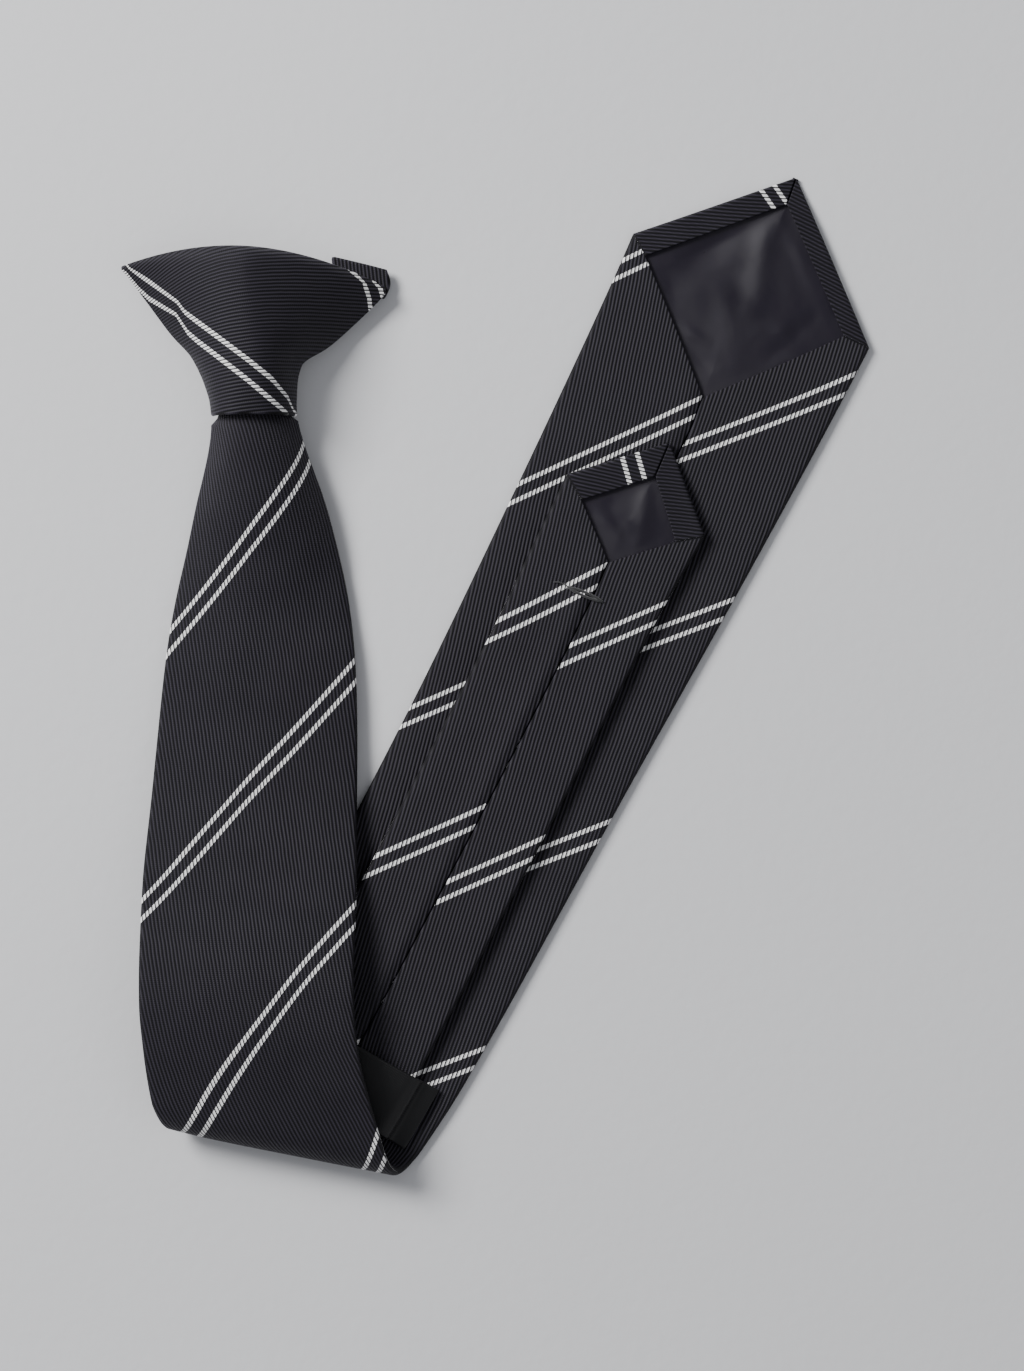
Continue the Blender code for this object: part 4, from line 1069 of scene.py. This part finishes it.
class TIE_cloth_settings(bpy.types.PropertyGroup):
    """Cloth, satin and thread."""
    cloth_thickness: FloatProperty(
        name="Cloth thickness", description="One layer of the blades",
        default=0.00055, min=0.0002, max=0.0012, unit="LENGTH", precision=5)
    satin_thickness: FloatProperty(
        name="Satin thickness", description="Satin of the points",
        default=0.0004, min=0.0002, max=0.0008, unit="LENGTH", precision=5)
    band_thickness: FloatProperty(
        name="Band thickness", description="Keeper band over the tail",
        default=0.0007, min=0.0003, max=0.001, unit="LENGTH", precision=5)
    knot_thickness: FloatProperty(
        name="Knot cloth", description="Cloth with lining in the knot",
        default=0.0013, min=0.0006, max=0.0016, unit="LENGTH", precision=5)
    rib_pitch: FloatProperty(
        name="Rib pitch", description="From one rib to the next",
        default=0.00105, min=0.0004, max=0.003, unit="LENGTH", precision=5)
    rib_height: FloatProperty(
        name="Rib height", description="Height of the ribs in millimetres",
        default=0.20, min=0.0, max=0.5)
    yarn_pitch: FloatProperty(
        name="Yarn pitch", description="Crossing yarns along a rib in millimetres",
        default=0.55, min=0.2, max=2.0)
    stripe_half: FloatProperty(
        name="Stripe half width",
        description="Half a pinstripe's width along the tie in millimetres",
        default=0.98, min=0.3, max=3.0)
    cloth_colour: FloatVectorProperty(
        name="Cloth", description="Tops of the ribs",
        default=(0.0270, 0.0240, 0.0340), min=0.0, max=1.0, size=3, subtype="COLOR")
    # Near black between the ribs: painted shade in the grooves.
    valley_shade_colour: FloatVectorProperty(
        name="Cloth between ribs", description="Between the ribs",
        default=(0.0012, 0.0010, 0.0016), min=0.0, max=1.0, size=3, subtype="COLOR")
    stripe_colour: FloatVectorProperty(
        name="Stripe", description="Pale pinstripes",
        default=(0.96, 0.95, 0.94), min=0.0, max=1.0, size=3, subtype="COLOR")
    satin_colour: FloatVectorProperty(
        name="Satin", description="Satin of the points",
        default=(0.0085, 0.0060, 0.0130), min=0.0, max=1.0, size=3, subtype="COLOR")
    band_colour: FloatVectorProperty(
        name="Band", description="Keeper band",
        default=(0.0050, 0.0050, 0.0055), min=0.0, max=1.0, size=3, subtype="COLOR")
    thread_colour: FloatVectorProperty(
        name="Thread", description="Bar tack and stitches",
        default=(0.016, 0.016, 0.018), min=0.0, max=1.0, size=3, subtype="COLOR")
    plastic_colour: FloatVectorProperty(
        name="Clip", description="Hidden plastic clip",
        default=(0.012, 0.012, 0.013), min=0.0, max=1.0, size=3, subtype="COLOR")


class TIE_stage_settings(bpy.types.PropertyGroup):
    """Floor, lights and camera."""
    floor_size: FloatProperty(
        name="Floor", description="Side of the floor",
        default=8.0, min=1.0, max=20.0, unit="LENGTH")
    floor_colour: FloatVectorProperty(
        name="Floor colour", description="Pale floor",
        default=(0.70, 0.70, 0.71), min=0.0, max=1.0, size=3, subtype="COLOR")
    key_power: FloatProperty(
        name="Key light", description="Power of the large soft light",
        default=48.0, min=0.0, max=500.0, unit="POWER")
    fill_power: FloatProperty(
        name="Fill light", description="Power of the weaker light",
        default=3.0, min=0.0, max=500.0, unit="POWER")
    camera_height: FloatProperty(
        name="Camera height", description="Camera above the floor",
        default=1.6, min=0.5, max=5.0, unit="LENGTH")
    view_height: FloatProperty(
        name="View height", description="Floor seen from top to bottom",
        default=0.3976, min=0.2, max=1.0, unit="LENGTH")


# Operators.

def cloth_material(look):
    """The ribbed cloth, made once and shared by the pieces."""
    return bpy.data.materials.get("ribbed_cloth") or ribbed_cloth(look)


def dress(piece, material):
    """Give a piece its material and its slot, and let it ride on the tie's one body."""
    piece.data.materials.clear()
    piece.data.materials.append(material)
    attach(piece, "root")
    return piece


class TIE_OT_blades(bpy.types.Operator):
    """Build the broad blade and the narrow tail in ribbed cloth"""
    bl_idname = "tie.blades"
    bl_label = "Blades"

    def execute(self, context):
        look = context.scene.tie_cloth
        for kind, flat, area, under in (("wide", (0.150, 0.560), 0.0740, "floor"),
                                        ("tail", (0.086, 0.470), 0.0360, "wide_cloth")):
            piece = build_blade(f"{kind}_cloth", kind, look.cloth_thickness, look.rib_pitch)
            dress(piece, cloth_material(look))
            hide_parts(f"{kind}_blade")
        return {"FINISHED"}


class TIE_OT_tippings(bpy.types.Operator):
    """Build the satin panels in both points"""
    bl_idname = "tie.tippings"
    bl_label = "Satin in the points"

    def execute(self, context):
        look = context.scene.tie_cloth
        satin = plain_satin("tipping_satin", tuple(look.satin_colour), 3.0, 0.36)
        for kind, flat in (("wide", (0.070, 0.062)), ("tail", (0.036, 0.034))):
            piece = build_tipping(f"{kind}_satin", kind, look.satin_thickness)
            dress(piece, satin)
            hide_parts(f"{kind}_tipping")
        return {"FINISHED"}


class TIE_OT_keeper(bpy.types.Operator):
    """Build the bare satin keeper band over the tail"""
    bl_idname = "tie.keeper"
    bl_label = "Keeper band"

    def execute(self, context):
        look = context.scene.tie_cloth
        piece = build_keeper("keeper_band", look.band_thickness)
        satin = plain_satin("keeper_satin", tuple(look.band_colour), 2.2, 0.30)
        dress(piece, satin)
        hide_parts("keeper_loop")
        return {"FINISHED"}


class TIE_OT_knot(bpy.types.Operator):
    """Build the wrapped knot and the wrap's end behind it"""
    bl_idname = "tie.knot"
    bl_label = "Knot"

    def execute(self, context):
        look = context.scene.tie_cloth
        knot = build_knot("knot_cloth", look.knot_thickness, look.rib_pitch)
        dress(knot, cloth_material(look))
        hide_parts("knot_wrap")
        end = build_wrap_end("wrap_end", look.knot_thickness, look.rib_pitch)
        dress(end, cloth_material(look))
        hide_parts("knot_back_fold")
        return {"FINISHED"}


class TIE_OT_clip(bpy.types.Operator):
    """Give the hidden plastic clip its finish"""
    bl_idname = "tie.clip"
    bl_label = "Plastic clip"

    def execute(self, context):
        look = context.scene.tie_cloth
        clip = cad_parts["collar_clip"]
        plastic = moulded_plastic(tuple(look.plastic_colour))
        for slot in clip.material_slots:
            slot.material = plastic
        return {"FINISHED"}


TACK_LINES = (  # start and end in millimetres in the frame, how far the thread bows aside
    ((20.8, 26.0), (31.2, 21.6), 0.55), ((20.8, 25.8), (31.2, 21.5), -0.55),
)
TACK_POINTS = 24
TACK_LIFT = 0.42            # millimetres that its middle stands above its sunk ends
TACK_SUNK = 0.25
TACK_TAPER = 7.0            # the full lift is reached at one over this share of the length
TACK_TAIL = (  # the loose end: x, y and height over the tail in millimetres
    (16.7, 27.4, -0.1), (18.2, 27.3, 0.15), (19.7, 26.8, 0.18), (21.1, 25.9, 0.0),
)
SEAM_INSET = 0.0011         # of the band's stitches from its ends
SEAM_MARGIN = 0.0012        # and from its sides
SEAM_STITCHES = 7
STITCH_POINTS = 6
STITCH_LENGTH = 0.0013
STITCH_RISE = 0.00014
TACK_RADIUS = 0.00036
LOOSE_RADIUS = 0.00016
STITCH_RADIUS = 0.00013


class TIE_OT_stitches(bpy.types.Operator):
    """Sew the bar tack on the tail and the stitches that hold the keeper band"""
    bl_idname = "tie.stitches"
    bl_label = "Stitches"

    def execute(self, context):
        look = context.scene.tie_cloth
        thread = twisted_thread(tuple(look.thread_colour))
        top = TAIL_TOP + TAIL_DEPTH + SEAM_LIFT
        lines = []
        for start, end, bow in TACK_LINES:
            line = []
            for share in np.linspace(0.0, 1.0, TACK_POINTS):
                x = start[0] + (end[0] - start[0]) * share
                y = start[1] + (end[1] - start[1]) * share + bow * math.sin(math.pi * share)
                lift = TACK_LIFT * min(1.0, TACK_TAPER * min(share, 1.0 - share)) - TACK_SUNK
                line.append((x * MM, y * MM, top + lift * MM))
            lines.append(line)
        dress(tube("bar_tack", lines, TACK_RADIUS), thread)
        loose = [(x * MM, y * MM, top + z * MM) for x, y, z in TACK_TAIL]
        dress(tube("bar_tack_tail", [loose], LOOSE_RADIUS), thread)
        u, h, _ = keeper_line()
        share = np.linspace(0.0, 1.0, STITCH_POINTS)
        lift = look.band_thickness + STITCH_RISE * np.sin(math.pi * share)
        seams = []
        for end, inset in ((0, SEAM_INSET), (-1, -SEAM_INSET)):
            for v in np.linspace(KEEPER_START + SEAM_MARGIN,
                                 KEEPER_START + KEEPER_LENGTH - SEAM_MARGIN, SEAM_STITCHES):
                seams.append(to_space(np.full(STITCH_POINTS, u[end] + inset),
                                      v + STITCH_LENGTH * (share - 0.5), h[end] + lift, 0.0))
        dress(tube("keeper_stitches", seams, STITCH_RADIUS), thread)
        return {"FINISHED"}


LIGHTS = (  # name, setting that holds its power, size, place
    ("key", "key_power", 0.7, (-1.15, 0.80, 1.05)),
    ("fill", "fill_power", 1.6, (1.3, -0.7, 1.3)),
)
ROOM_COLOUR = (0.92, 0.94, 1.0, 1.0)
ROOM_STRENGTH = 0.38
VIEW_MIDDLE = (0.00482, -0.00257)
SENSOR = 24.0


class TIE_OT_stage(bpy.types.Operator):
    """Lay the pale floor and set the soft lights and the camera"""
    bl_idname = "tie.stage"
    bl_label = "Stage"

    def execute(self, context):
        scene = context.scene
        look = scene.tie_stage
        half = 0.5 * look.floor_size
        floor = new_piece("floor", [(-half, -half, 0.0), (half, -half, 0.0), (half, half, 0.0),
                                    (-half, half, 0.0)], [(0, 1, 2, 3)])
        floor.data.materials.append(table_top(tuple(look.floor_colour)))
        world = bpy.data.worlds.new("soft_room")
        world.use_nodes = True
        sky = world.node_tree.nodes["Background"]
        sky.inputs["Color"].default_value = ROOM_COLOUR
        sky.inputs["Strength"].default_value = ROOM_STRENGTH
        scene.world = world
        for name, power, size, place in LIGHTS:
            light = bpy.data.lights.new(name, "AREA")
            light.energy = getattr(look, power)
            light.size = size
            lamp = bpy.data.objects.new(name, light)
            lamp.location = place
            aim = -np.array(place)
            lamp.rotation_euler = (math.atan2(math.hypot(aim[0], aim[1]), -aim[2]), 0.0,
                                   math.atan2(aim[0], -aim[1]) + math.pi)
            scene.collection.objects.link(lamp)
        lens = bpy.data.cameras.new("camera")
        lens.sensor_fit = "VERTICAL"
        lens.sensor_height = SENSOR
        lens.lens = SENSOR * look.camera_height / look.view_height
        camera = bpy.data.objects.new("camera", lens)
        camera.location = (*VIEW_MIDDLE, look.camera_height)
        scene.collection.objects.link(camera)
        scene.camera = camera
        return {"FINISHED"}


class TIE_PT_panel(bpy.types.Panel):
    """Necktie pieces and their settings"""
    bl_idname = "TIE_PT_panel"
    bl_label = "Necktie"
    bl_space_type = "VIEW_3D"
    bl_region_type = "UI"
    bl_category = "Necktie"

    def draw(self, context):
        for group in (context.scene.tie_cloth, context.scene.tie_stage):
            for title in group.__annotations__:
                self.layout.prop(group, title)
        for step in STEPS:
            self.layout.operator(step.bl_idname)


STEPS = (TIE_OT_blades, TIE_OT_tippings, TIE_OT_keeper, TIE_OT_knot, TIE_OT_clip,
         TIE_OT_stitches, TIE_OT_stage)
SETTINGS = (TIE_cloth_settings, TIE_stage_settings)


def register():
    """Register the settings, the operators and the panel."""
    for entry in (*SETTINGS, *STEPS, TIE_PT_panel):
        bpy.utils.register_class(entry)
    bpy.types.Scene.tie_cloth = PointerProperty(type=TIE_cloth_settings)
    bpy.types.Scene.tie_stage = PointerProperty(type=TIE_stage_settings)


def unregister():
    """Take them out again."""
    del bpy.types.Scene.tie_stage
    del bpy.types.Scene.tie_cloth
    for entry in reversed((*SETTINGS, *STEPS, TIE_PT_panel)):
        bpy.utils.unregister_class(entry)


def main():
    """Build every piece in order."""
    register()
    for step in STEPS:
        group, action = step.bl_idname.split(".")
        getattr(getattr(bpy.ops, group), action)()
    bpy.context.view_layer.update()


if __name__ == "__main__":
    main()
